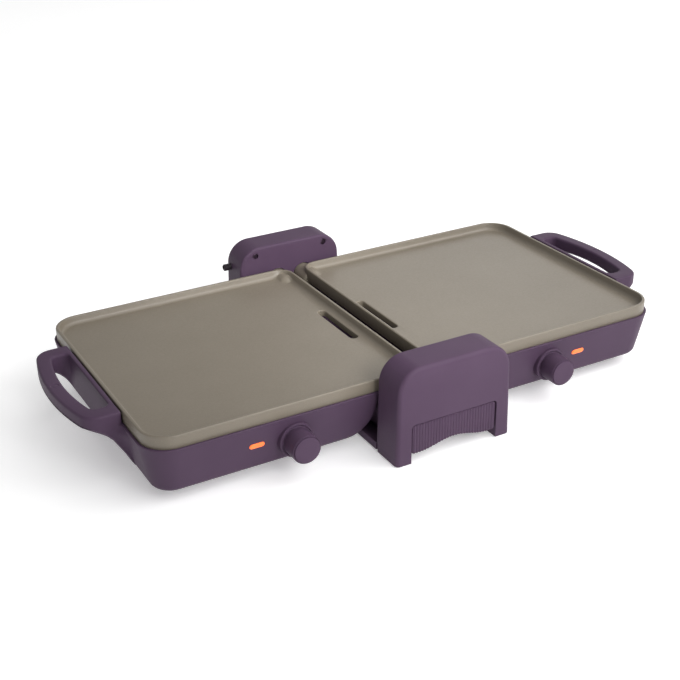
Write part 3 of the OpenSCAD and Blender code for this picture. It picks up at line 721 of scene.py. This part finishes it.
def sweep_z(x):
    """Underside of the handle at x: an arc that turns down and runs out into the end wall."""
    if x >= OPENING_X0:
        return SWEEP_Z + math.sqrt(max(0.0, SWEEP_R * SWEEP_R - min(0.0, x - SWEEP_X) ** 2))
    join_z = SWEEP_Z + math.sqrt(SWEEP_R * SWEEP_R - (OPENING_X0 - SWEEP_X) ** 2)
    t = (x - SWEEP_FOOT_X) / (OPENING_X0 - SWEEP_FOOT_X)
    if t <= 0:
        return SWEEP_FOOT_Z
    return SWEEP_FOOT_Z + (join_z - SWEEP_FOOT_Z) * (0.55 * t + 0.45 * (3 * t * t - 2 * t ** 3))


def sweep_x(z):
    """The handle's underside the other way round: its x at height z."""
    low, high = SWEEP_FOOT_X - 3, SWEEP_X
    for _ in range(30):
        middle = (low + high) / 2
        if sweep_z(middle) < z:
            low = middle
        else:
            high = middle
    return low


def root_fillet(y, z):
    """How far the end wall swells beside the handle's arm, to blend the two."""
    most, full = 13.0, 0.92
    beside = abs(y) - HANDLE_Y
    arm = sweep_x(z) - (SHELL_X1 - wall_inset(z)) - 1.5
    reach = min(most, max(arm, 0.0))
    if z > LIP_Z - 9:
        reach *= smoothstep((LIP_Z + 0.5 - z) / 9) * 0.75 + 0.25
    if reach <= 0.05:
        return 0.0
    if beside < 0:
        return reach * full * (1 - smoothstep((OPENING_Y + 17 - abs(y)) / 3))
    s = min(beside / (reach * 1.15), 1.0)
    return reach * (1 - math.sqrt(max(0.0, 1 - (1 - s) ** 2))) * full


# Where the end wall has points, in Y: they crowd beside the handle's arm
END_WALL_Y = (0, 20, 40, 56, 66, 70, 72, 73, 74, 75, 76, 77.2, 78.6, 80.2, 82, 84, 86.5, 89.5, 93, 98, 104)


def tub_ring(z, inset=0.0, blend=False):
    """Outline of the base at height z, set in by inset, swollen beside the handle's arm if blend."""
    d = wall_inset(z)
    x1, y = SHELL_X1 - d - inset, SHELL_Y - d - inset
    x0 = nose_x(z) + inset
    # The corner radii, outer and inner end
    outer = max(PLATE_OUTER_R + LIP_OUT - d - inset, 2.5)
    inner = min(max(5 + d * 0.6 - inset, 2.0), 10)
    swell = (lambda v: root_fillet(v, z)) if blend else (lambda v: 0.0)
    along = [x1 - outer + (x0 + inner - x1 + outer) * t for t in (0.25, 0.5, 0.75)]
    points = [(x1 + swell(-v), -v) for v in reversed(END_WALL_Y[1:])]
    points += [(x1 + swell(v), v) for v in END_WALL_Y]
    points += arc(x1 - outer, y - outer, outer, 0, 90, 12)
    points += [(x, y) for x in along]
    points += arc(x0 + inner, y - inner, inner, 90, 180, 6)
    points += [(x0, 0)]
    points += arc(x0 + inner, -y + inner, inner, 180, 270, 6)
    points += [(x, -y) for x in reversed(along)]
    points += arc(x1 - outer, -y + outer, outer, 270, 360, 12)
    return [(px, py, z) for px, py in points]


def build_tub(name):
    edge = [BASE_Z + EDGE_R * (1 - math.sin(math.radians(a))) for a in range(90, EDGE_TURN - 1, -8)]
    walls = [19 + 2.5 * i for i in range(13)] + [51, 53, 54.6, 55.8, LIP_Z - 0.5]
    lip_round = 0.45
    rings = [tub_ring(z, blend=True) for z in edge + walls]
    rings.append([(x, y, LIP_Z) for x, y, _ in tub_ring(LIP_Z, lip_round)])
    return new_object(name, *loft(rings))


def build_cavity():
    """The space inside the tub, a wall's thickness from its outside."""
    low = BASE_Z + WALL
    heights = [low + (EDGE_R - WALL) * (1 - math.sin(math.radians(a))) for a in range(90, EDGE_TURN - 1, -10)]
    rings = []
    for z in heights:
        rings.append([(x, y, z) for x, y, _ in tub_ring(max(z - WALL * 0.75, BASE_Z + 0.01), WALL)])
    rings += [tub_ring(z, WALL) for z in (20, 26, 32, 38, 42, 50, LIP_Z)]
    rings.append([(x, y, LIP_Z + 1) for x, y, _ in tub_ring(LIP_Z, WALL)])
    return new_object("cavity", *loft(rings))


def handle_stations():
    """Pairs of points round the handle, outline and opening, for y >= 0: strip, arm, corner, grip."""
    corner_r, opening_r, strip_r = 17.0, 7.0, 6
    arm_x, arm_opening_x = 287, 286.2
    pairs = [((HANDLE_IN, y), (OPENING_X0, y)) for y in (0, 14, 28, 40, 47)]
    inner = arc(OPENING_X0 + strip_r, OPENING_Y - strip_r, strip_r, 180, 90, 7)
    outer = [(HANDLE_IN, y) for y in (52, 58, 66, HANDLE_Y - 1.4)]
    outer += [(HANDLE_IN + 0.4, HANDLE_Y - 0.4)] + [(HANDLE_IN + x, HANDLE_Y) for x in (1.4, 5, 10)]
    pairs += list(zip(outer, inner))
    pairs.append(((arm_x, HANDLE_Y), (arm_opening_x, OPENING_Y)))
    # The corners touch the straight arm and the bow
    corner_x = BOW_X + math.sqrt((BOW_R - corner_r) ** 2 - (HANDLE_Y - corner_r) ** 2)
    opening_x = BOW_X + math.sqrt((OPENING_BOW_R - opening_r) ** 2 - (OPENING_Y - opening_r) ** 2)
    turn = math.degrees(math.atan2(HANDLE_Y - corner_r, corner_x - BOW_X))
    opening_turn = math.degrees(math.atan2(OPENING_Y - opening_r, opening_x - BOW_X))
    pairs += list(zip(arc(corner_x, HANDLE_Y - corner_r, corner_r, 90, turn, 12),
                      arc(opening_x, OPENING_Y - opening_r, opening_r, 90, opening_turn, 12)))
    pairs += list(zip(arc(BOW_X, 0, BOW_R, turn, 0, 12)[1:],
                      arc(BOW_X, 0, OPENING_BOW_R, opening_turn, 0, 12)[1:]))
    return pairs


def handle_section(outer, inner):
    """One closed section of the handle between its outline and its opening."""
    steps, under_steps = 5, 9
    edge_r, opening_edge_r, sink_most = 2.6, 2.2, 9.0
    ox, oy = outer
    ix, iy = inner
    width = math.hypot(ox - ix, oy - iy)
    top_r = min(edge_r, width * 0.33)
    # Where the arm runs into the end wall, the outline's underside sinks into the tub, unrounded
    sunk = smoothstep((OPENING_X0 + 8 - ox) / 10)
    foot = ox - sink_most * sunk
    low_r_o = edge_r * (1 - smoothstep((OPENING_X0 - ox) / 3))
    low_r_i = opening_edge_r * smoothstep((ix - OPENING_X0) / 4)

    def at(s, sink=0.0):
        """The point s of the way from the opening to the outline, with the outline's side sunk in X."""
        x = ix + (ox - ix) * s
        return (x - (ox - foot) * sink * s, iy + (oy - iy) * s)

    turns = [math.radians(90 * i / steps) for i in range(steps + 1)]
    section = [(*at(top_r * (1 - math.sin(a)) / width), RIM_Z - top_r * (1 - math.cos(a)))
               for a in reversed(turns)]
    section += [(*at(1 - top_r * (1 - math.sin(a)) / width), RIM_Z - top_r * (1 - math.cos(a)))
                for a in turns]
    section.append((*at(1), LIP_Z - 2.5 + (1 - sunk) * 3))
    for i in range(under_steps + 1):
        s = 1 - i / under_steps
        x, y = at(s, 1.0)
        lift = 0.0
        for r, d in ((low_r_o, (1 - s) * width), (low_r_i, s * width)):
            if r > 0.05 and d < r:
                lift += r - math.sqrt(max(0.0, r * r - (r - d) ** 2))
        section.append((x, y, min(sweep_z(x) + lift, LIP_Z + 4)))
    return section


def build_handle():
    """The handle with its strip along the end wall, one closed loop of sections."""
    half = handle_stations()
    full = half + [((ox, -oy), (ix, -iy)) for (ox, oy), (ix, iy) in reversed(half[1:-1])]
    rings = [handle_section(o, i) for o, i in full]
    return new_object("handle", *loft(rings, closed=True))


def block(name, low, high):
    """A square block between two corners."""
    rings = [[(low[0], low[1], z), (high[0], low[1], z), (high[0], high[1], z), (low[0], high[1], z)]
             for z in (low[2], high[2])]
    return new_object(name, *loft(rings))


def shell_posts():
    """Posts that the plate is screwed to, and the shelf of the terminal block."""
    post = [(TIP_R, BASE_Z + 1), (POST_R, BASE_Z + 1), (POST_R, POST_TOP - 0.4), (POST_R - 0.4, POST_TOP),
            (TIP_R, POST_TOP)]
    posts = [z_drum("post", x, y, post, 24) for x, y in POSTS]
    block_low, block_high = mm_box("right_terminal_block")
    shelf_low = (SHELL_X0 + 1, block_low.y - 2, block_low.z - SHELF_T)
    shelf_high = (block_high.x, block_high.y + 2, block_low.z - 0.02)
    return join(posts + [block("shelf", shelf_low, shelf_high)])


def shell_holes():
    """Holes for screws, feet, thermostat, indicator and wires, opened up at their mouths."""
    screw = [(TIP_R, BASE_Z - 1), (4.5, BASE_Z - 1), (4.5, BASE_Z), (4, BASE_Z + 0.4), (4, BASE_Z + 4),
             (SCREW_WAY_R, BASE_Z + 4), (SCREW_WAY_R, POST_TOP + 1), (TIP_R, POST_TOP + 1)]
    foot_r, shaft_r = FOOT_STUD_R + 0.1, RING_R - 4
    foot = [(TIP_R, BASE_Z - 1), (foot_r, BASE_Z - 1), (foot_r, BASE_Z + 5), (TIP_R, BASE_Z + 5)]
    shaft = [(TIP_R, -SHELL_Y - 1), (shaft_r, -SHELL_Y - 1), (shaft_r, -SHELL_Y + 14), (TIP_R, -SHELL_Y + 14)]
    wires_low = (SHELL_X0 - 1, WIRE_WAY_Y[0], HINGE_Z - WIRE_WAY_H / 2)
    wires_high = (SHELL_X0 + 5, WIRE_WAY_Y[1], HINGE_Z + WIRE_WAY_H / 2)
    holes = [z_drum("screw_way", x, y, screw, 24) for x, y in POSTS]
    holes += [z_drum("foot_way", FOOT_X, s * FOOT_Y, foot, 24) for s in (-1, 1)]
    holes.append(y_drum("shaft_way", KNOB_X, KNOB_Z, shaft))
    holes.append(pill_on_wall("lens_way", 4.5, [(2.1, -1), (2.1, 5)]))
    holes.append(block("wire_way", wires_low, wires_high))
    return join(holes)


def grip_mark():
    """A plain round dimple in the top of the grip."""
    profile = [(TIP_R, RIM_Z - 0.25), (MARK_R - 1.6, RIM_Z - 0.3), (MARK_R - 0.9, RIM_Z - 0.45),
               (MARK_R - 0.4, RIM_Z - 0.3), (MARK_R, RIM_Z + 0.05), (MARK_R, RIM_Z + 1), (TIP_R, RIM_Z + 1)]
    return z_drum("mark", GRIP_X, 0, profile, 48)


def build_shell(name):
    shell = build_tub(name)
    merge(shell, build_handle())
    cut(shell, build_cavity())
    seat = [plate_outline(SEAT_GAP, SKIRT_Z - SEAT_GAP), plate_outline(SEAT_GAP, LIP_Z + 0.5)]
    cut(shell, new_object("seat", *loft(seat)))
    merge(shell, shell_posts())
    cut(shell, shell_holes(), grip_mark())
    return shell


def plate_outline(gap, z):
    """Outline of the plate's skirt at height z, grown by gap all round."""
    outer, inner = PLATE_OUTER_R + gap, PLATE_INNER_R + gap
    outer_x, outer_y = PLATE_X1 - PLATE_OUTER_R, PLATE_Y - PLATE_OUTER_R
    inner_x, inner_y = PLATE_X0 + PLATE_INNER_R, PLATE_Y - PLATE_INNER_R
    outline = arc(outer_x, outer_y, outer, 0, 90, 12) + arc(inner_x, inner_y, inner, 90, 180, 6)
    outline += arc(inner_x, -inner_y, inner, 180, 270, 6) + arc(outer_x, -outer_y, outer, 270, 360, 12)
    return [(x, y, z) for x, y in outline]


# ---------------------------------------------------------------- towers and their inner covers
def tower_ring(y, inset, low):
    """Front view of a tower: leaning sides, large round top corners, nearly sharp lower corners."""
    centre_z = TOWER_TOP - TOWER_R
    centre_x = TOWER_HALF_W - centre_z * math.tan(TOWER_DRAFT) - TOWER_R / math.cos(TOWER_DRAFT)
    foot = TOWER_HALF_W - low * math.tan(TOWER_DRAFT) - inset / math.cos(TOWER_DRAFT)
    right = arc(foot - TOWER_FOOT_R, low + TOWER_FOOT_R, TOWER_FOOT_R, -90, 0, 4)
    right += arc(centre_x, centre_z, TOWER_R - inset, TOWER_DRAFT_DEGREES, 90, 20)
    left = [(-x, z) for x, z in reversed(right)]
    return [(x, y, z) for x, z in right + left]


def filleted_tower(face_y, flat_y, radius, low):
    """A tower's outer form with a soft edge round its face, cut off square just beyond flat_y."""
    spare, steps = 0.015, 8
    outwards = math.copysign(1, face_y) * (1 if abs(face_y) > abs(flat_y) else -1)
    rings = [tower_ring(flat_y - outwards * 2, spare, low)]
    for i in range(steps + 1):
        a = math.radians(90 * i / steps)
        y = face_y - outwards * (radius * (1 - math.sin(a)) + spare)
        rings.append(tower_ring(y, spare + radius * (1 - math.cos(a)), low))
    return new_object("form", *loft(rings))


def build_towers():
    """Each tower and inner cover is its CAD node's mesh, cut to a form with softly rounded edges."""
    flat_y = COVER_Y + COVER_T
    for word, side in (("front", -1), ("rear", 1)):
        forms = {
            word + "_tower": (TOWER_Y, TOWER_EDGE_R, TOWER_BOTTOM),
            word + "_inner_cover": (COVER_Y, COVER_EDGE_R, COVER_BOTTOM),
        }
        for node, (face_y, radius, low) in forms.items():
            piece = node_copy(node, node + "_moulding")
            boolean(piece, filleted_tower(side * face_y, side * flat_y, radius, low), "INTERSECT")
            finish_piece(piece, "stand", "plum_plastic", node, angle=30)


# ---------------------------------------------------------------- drip tray and its ribbed front
def build_tray_front():
    """The tray's front plate: a wall of upright rounded ribs over a low arch."""
    half_w, top, corner = 44.6, 38.3, 2.4
    arch_half_w, arch_low, arch_rise = 36.8, 9.0, 6.0
    face_y, back_y = -TOWER_Y + 0.7, -TOWER_Y + 4.45
    rib_pitch, rib_depth, rib_steps = 3.0, 0.55, 12
    reach = int(half_w / rib_pitch) * rib_steps + rib_steps // 2
    xs = [rib_pitch * (i / rib_steps) for i in range(-reach, reach + 1)]
    xs = [x for x in xs if abs(x) < half_w - 0.3]
    xs = [-half_w, -(half_w - 0.25)] + xs + [half_w - 0.25, half_w]
    rings = []
    for x in xs:
        beyond = max(0.0, abs(x) - (half_w - corner))
        round_off = corner - math.sqrt(max(0.0, corner ** 2 - beyond ** 2))
        along = math.pi * min(abs(x) / arch_half_w, 1)
        low = arch_low + arch_rise / 2 * (1 + math.cos(along)) + round_off
        high = top - round_off
        wave = 0.5 - 0.5 * math.cos(2 * math.pi * x / rib_pitch)
        y = face_y + rib_depth * smoothstep(1.6 * wave - 0.3) + 0.05
        edge = 0.8 if abs(x) == half_w else 0.0
        fronts = [(0, 0.9), (0.35, 0.3), (0.9, 0)]
        ring = [(x, y + edge + sink, low + up) for up, sink in fronts]
        ring += [(x, y + edge, low + (high - low) * t) for t in (0.25, 0.5, 0.75)]
        ring += [(x, y + edge + sink, high - up) for up, sink in reversed(fronts)]
        ring += [(x, back_y, high), (x, back_y, (low + high) / 2), (x, back_y, low)]
        rings.append(ring)
    piece = new_object("tray_front_ribbed", *loft(rings))
    finish_piece(piece, "tray", "plum_plastic", "tray_front", angle=50)


def soften(node, body):
    """A CAD node's own shape with its edges rounded a little."""
    piece = node_copy(node, node + "_moulding")
    modifier = piece.modifiers.new("edges", "BEVEL")
    modifier.width = SOFT_EDGE * MM
    modifier.segments = 2
    modifier.limit_method = "ANGLE"
    modifier.angle_limit = math.radians(35)
    apply_modifiers(piece)
    finish_piece(piece, body, "plum_plastic", node, angle=40)


# ---------------------------------------------------------------- knobs, rings and indicator lenses
def build_knob(name):
    low, high = mm_box("right_knob")
    front, back = low.y, high.y
    bore_r, hub_r, inner_r = 3.02, 5.4, 11.3
    # Up the shaft's bore, down the hub, and out to the skirt's back
    body = [(bore_r, front + 6), (bore_r, back - 0.6), (hub_r, back - 0.6), (hub_r, front + 5.5),
            (inner_r, front + 5.5), (inner_r, back)]
    body += [(KNOB_R - 0.8, back), (KNOB_R - 0.25, back - 0.25), (KNOB_R, back - 0.8), (KNOB_R, back - 9)]
    # The front edge: a rounded lip, a thin groove, and the cap inside it
    lip = [(0.05, 2.2), (0.15, 1.5), (0.4, 1.05), (0.75, 0.95), (0.95, 1.15), (1.0, 1.6)]
    cap = [(1.3, 1.6), (1.35, 0.5), (1.55, 0.12), (1.95, 0), (6, 0)]
    body += [(KNOB_R - inset, front + sunk) for inset, sunk in lip + cap] + [(TIP_R, front)]
    return y_drum(name, KNOB_X, KNOB_Z, body, 96)


def build_ring(name):
    """A flat bezel with a groove round it, its back cut to the leaning wall."""
    face = -SHELL_Y - 0.9
    shaft_hole_r = 3.6
    groove = [(3.2, 0), (3.0, 0.12), (2.75, 0.5), (2.25, 0.5), (2.0, 0.12), (1.8, 0)]
    edge = [(0.9, 0), (0.35, 0.2), (0, 0.7)]
    profile = [(shaft_hole_r, -SHELL_Y + 8), (shaft_hole_r, face)]
    profile += [(RING_R - inset, face + sunk) for inset, sunk in groove + edge] + [(RING_R, -SHELL_Y + 12)]
    ring = y_drum(name, KNOB_X, KNOB_Z, profile, 96)
    # Everything behind the wall's face, a slanting block wider than the ring
    low, high, width = -5, LIP_Z + 8, 30
    low_y, high_y = [-SHELL_Y + (LIP_Z - z) * WALL_SLOPE + 0.4 for z in (low, high)]
    behind = [[(x, low_y, low), (x, high_y, high), (x, 0, high), (x, 0, low)]
              for x in (KNOB_X - width, KNOB_X + width)]
    cut(ring, new_object("behind", *loft(behind)))
    return ring


def on_wall(points, x, z):
    """Places points drawn on an upright wall at the origin (facing -Y) on the leaning front wall."""
    lean = Matrix.Rotation(math.atan(WALL_SLOPE), 3, "X")
    base = Vector((x, -(SHELL_Y - (LIP_Z - z) * WALL_SLOPE), z))
    return [tuple(lean @ Vector(p) + base) for p in points]


def pill_on_wall(name, half, stations):
    """A pill lying on the front wall at the indicator: stations are (end radius, depth into the wall)."""
    rings = []
    for r, y in stations:
        outline = arc(half, 0, r, -90, 90, 14) + arc(-half, 0, r, 90, 270, 14)
        rings.append(on_wall([(px, y, pz) for px, pz in outline], LENS_X, LENS_Z))
    return new_object(name, *loft(rings))


def build_lens(name):
    """A stem through the wall and a cushion-shaped head in front of it."""
    stem_r, head_r, half = 1.6, 2.5, 4.75
    cushion = [(0, 0.02), (0, -0.3), (0.08, -0.52), (0.28, -0.68), (0.6, -0.76), (1.2, -0.8)]
    stations = [(stem_r, 4.0), (stem_r, 0.3)] + [(head_r - inset, y) for inset, y in cushion]
    return pill_on_wall(name, half, stations)


def build_feet(name):
    """Two rubber feet, each with a stud up into the base."""
    foot = [(TIP_R, 0.35), (FOOT_R - 2.8, 0.35), (FOOT_R - 2.2, 0), (FOOT_R - 1.3, 0), (FOOT_R - 0.5, 0.35),
            (FOOT_R - 0.05, 1.2), (FOOT_R, 2), (FOOT_R - 0.1, BASE_Z - 0.6), (FOOT_R - 0.5, BASE_Z - 0.05)]
    stud = [(FOOT_STUD_R, BASE_Z - 0.05), (FOOT_STUD_R, BASE_Z + 3.6), (FOOT_STUD_R - 0.5, BASE_Z + 4),
            (TIP_R, BASE_Z + 4)]
    return join([z_drum("foot", FOOT_X, s * FOOT_Y, foot + stud, 40) for s in (-1, 1)], name)


def build_gland():
    """The cord's gland: three grooved rings outside the tower's wall and a flange inside it."""
    low, high = mm_box("cord_gland")
    y, z = (low.y + high.y) / 2, (low.z + high.z) / 2
    wall_x = -(TOWER_HALF_W - z * math.tan(TOWER_DRAFT))
    flange_r = (high.y - low.y) / 2 - 0.1
    ring_r, neck_r, hole_r = flange_r - 1.6, flange_r - 2.2, 1.6
    pitch, flange_t = 1.9, 2
    profile = [(hole_r, low.x + 1.0), (hole_r + 0.4, low.x)]
    profile += [(ring_r - 0.9, low.x), (ring_r - 0.3, low.x + 0.5)]
    for i in range(3):
        x = low.x + 1.0 + i * pitch
        profile += [(ring_r, x), (ring_r, x + 0.95), (neck_r, x + 1.15), (neck_r, x + 1.7)]
    profile += [(ring_r, wall_x - 0.1), (ring_r, high.x - flange_t), (flange_r, high.x - flange_t),
                (flange_r, high.x), (hole_r, high.x)]
    gland = turned("cord_gland_moulding", profile, (0, y, z), (1, 0, 0), 40)
    finish_piece(gland, "stand", "rubber", "cord_gland", angle=30)


# ---------------------------------------------------------------- screws and small feet
def build_screws(name, places, direction, head_r, head_h, shank_r, length):
    """Pan-head screws with a cross recess: places are the middles of the head faces."""
    profile = [(TIP_R, 0), (head_r * 0.45, 0.02), (head_r * 0.75, 0.12), (head_r * 0.93, 0.38)]
    profile += [(head_r, 0.75), (head_r, head_h), (shank_r, head_h), (shank_r, length - 1)]
    profile += [(shank_r * 0.5, length), (TIP_R, length)]
    screw = turned(name + "_one", profile, (0, 0, 0), (0, 0, 1), 32)
    wide, deep, half = head_r * 0.55, head_h * 0.6, head_r * 0.1
    for w, d in ((wide, half), (half, wide)):
        mouth = (w, d, -0.1)
        bottom = (w * 0.6 + half * 0.3, d * 0.6 + half * 0.3, deep)
        rings = [[(-a, -b, z), (a, -b, z), (a, b, z), (-a, b, z)] for a, b, z in (mouth, bottom)]
        cut(screw, new_object("recess", *loft(rings)))
    turn = Vector((0, 0, 1)).rotation_difference(Vector(direction)).to_matrix().to_4x4()
    copies = []
    for place in places:
        copy = bpy.data.objects.new("copy", screw.data.copy())
        copy.data.transform(Matrix.Translation(Vector(place) * MM) @ turn)
        copies.append(copy)
    bpy.data.objects.remove(screw)
    return join(copies, name)


def build_plate_screws(name):
    low, high = mm_box("right_plate_screws")
    head_r, head_h, shank_r = 3.6, 2.9, 1.55
    places = [(x, y, low.z) for x, y in POSTS]
    return build_screws(name, places, (0, 0, 1), head_r, head_h, shank_r, high.z - low.z)


def corners(low, high, inset):
    """The four places inset from the corners of a box seen from above."""
    return [(x, y) for x in (low.x + inset, high.x - inset) for y in (low.y + inset, high.y - inset)]


def build_stand_screws():
    """The screws up into the towers' legs, and those that hold the inner covers."""
    low, high = mm_box("base_screws")
    head_r, shank_r, head_h = STAND_SCREW_R, STAND_SHANK_R, 2.1
    places = [(x, y, low.z) for x, y in corners(low, high, head_r)]
    screws = build_screws("base_screws_recessed", places, (0, 0, 1), head_r, head_h, shank_r, high.z - low.z)
    finish_piece(screws, "stand", "plated_steel", "base_screws")
    high = mm_box("cover_screws")[1]
    face_y, head_h = COVER_Y + 1.2, 1.16
    for side, word in ((-1, "front"), (1, "rear")):
        places = [(s * x, side * face_y, z)
                  for s in (-1, 1) for x, z in ((WELL_X, WELL_Z), (high.x - head_r, LOW_SCREW_Z))]
        screws = build_screws(
            word + "_cover_screws_recessed", places, (0, side, 0), head_r, head_h, shank_r, high.y - face_y)
        # the cover screws carry the black oxide colour with the painted dark plum well shade in it
        finish_piece(screws, "stand", "blackened_steel", "cover_screws")


def build_stand_feet():
    """Four small rubber feet under the centre base, each with a stud."""
    low, high = mm_box("base_feet")
    stud_r, top_z, r = 2, 1.46, BASE_FOOT_R
    profile = [(TIP_R, 0.25), (r - 1.7, 0.25), (r - 1.3, 0), (r - 0.5, 0), (r - 0.1, 0.3), (r, 0.6)]
    profile += [(r, 1.3), (r - 0.15, top_z), (stud_r, top_z), (stud_r, high.z - 0.3)]
    profile += [(stud_r - 0.3, high.z), (TIP_R, high.z)]
    feet = [z_drum("foot", x, y, profile) for x, y in corners(low, high, r)]
    finish_piece(join(feet, "base_feet_moulding"), "stand", "rubber", "base_feet")


# ---------------------------------------------------------------- the scene
MATERIALS = make_materials()
make_camera()
make_stage()
for_both_halves(build_plate, "plate_casting", "half", "coated_plate", "griddle_plate")
for_both_halves(build_shell, "base_moulding", "half", "plum_plastic", "base_shell")
build_towers()
build_tray_front()
soften("drip_tray", "tray")
soften("center_base", "stand")
for_both_halves(build_knob, "knob_moulding", "control", "knob_plastic", "knob")
for_both_halves(build_ring, "knob_ring_moulding", "half", "knob_plastic", "knob_ring")
for_both_halves(build_lens, "lens_moulding", "half", "amber_lens", "indicator_lens")
for_both_halves(build_feet, "rubber_feet", "half", "rubber", "feet")
for_both_halves(build_plate_screws, "plate_screws_recessed", "half", "plated_steel", "plate_screws")
build_gland()
build_stand_screws()
build_stand_feet()

# The CAD nodes that stay visible get the same materials, by the names of their slots
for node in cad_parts:
    cad_object = bpy.data.objects.get(node)
    if cad_object is None:
        continue
    for slot in cad_object.material_slots:
        key = slot.material.name.split(".")[0] if slot.material else ""
        if key in MATERIALS:
            slot.material = MATERIALS[key]
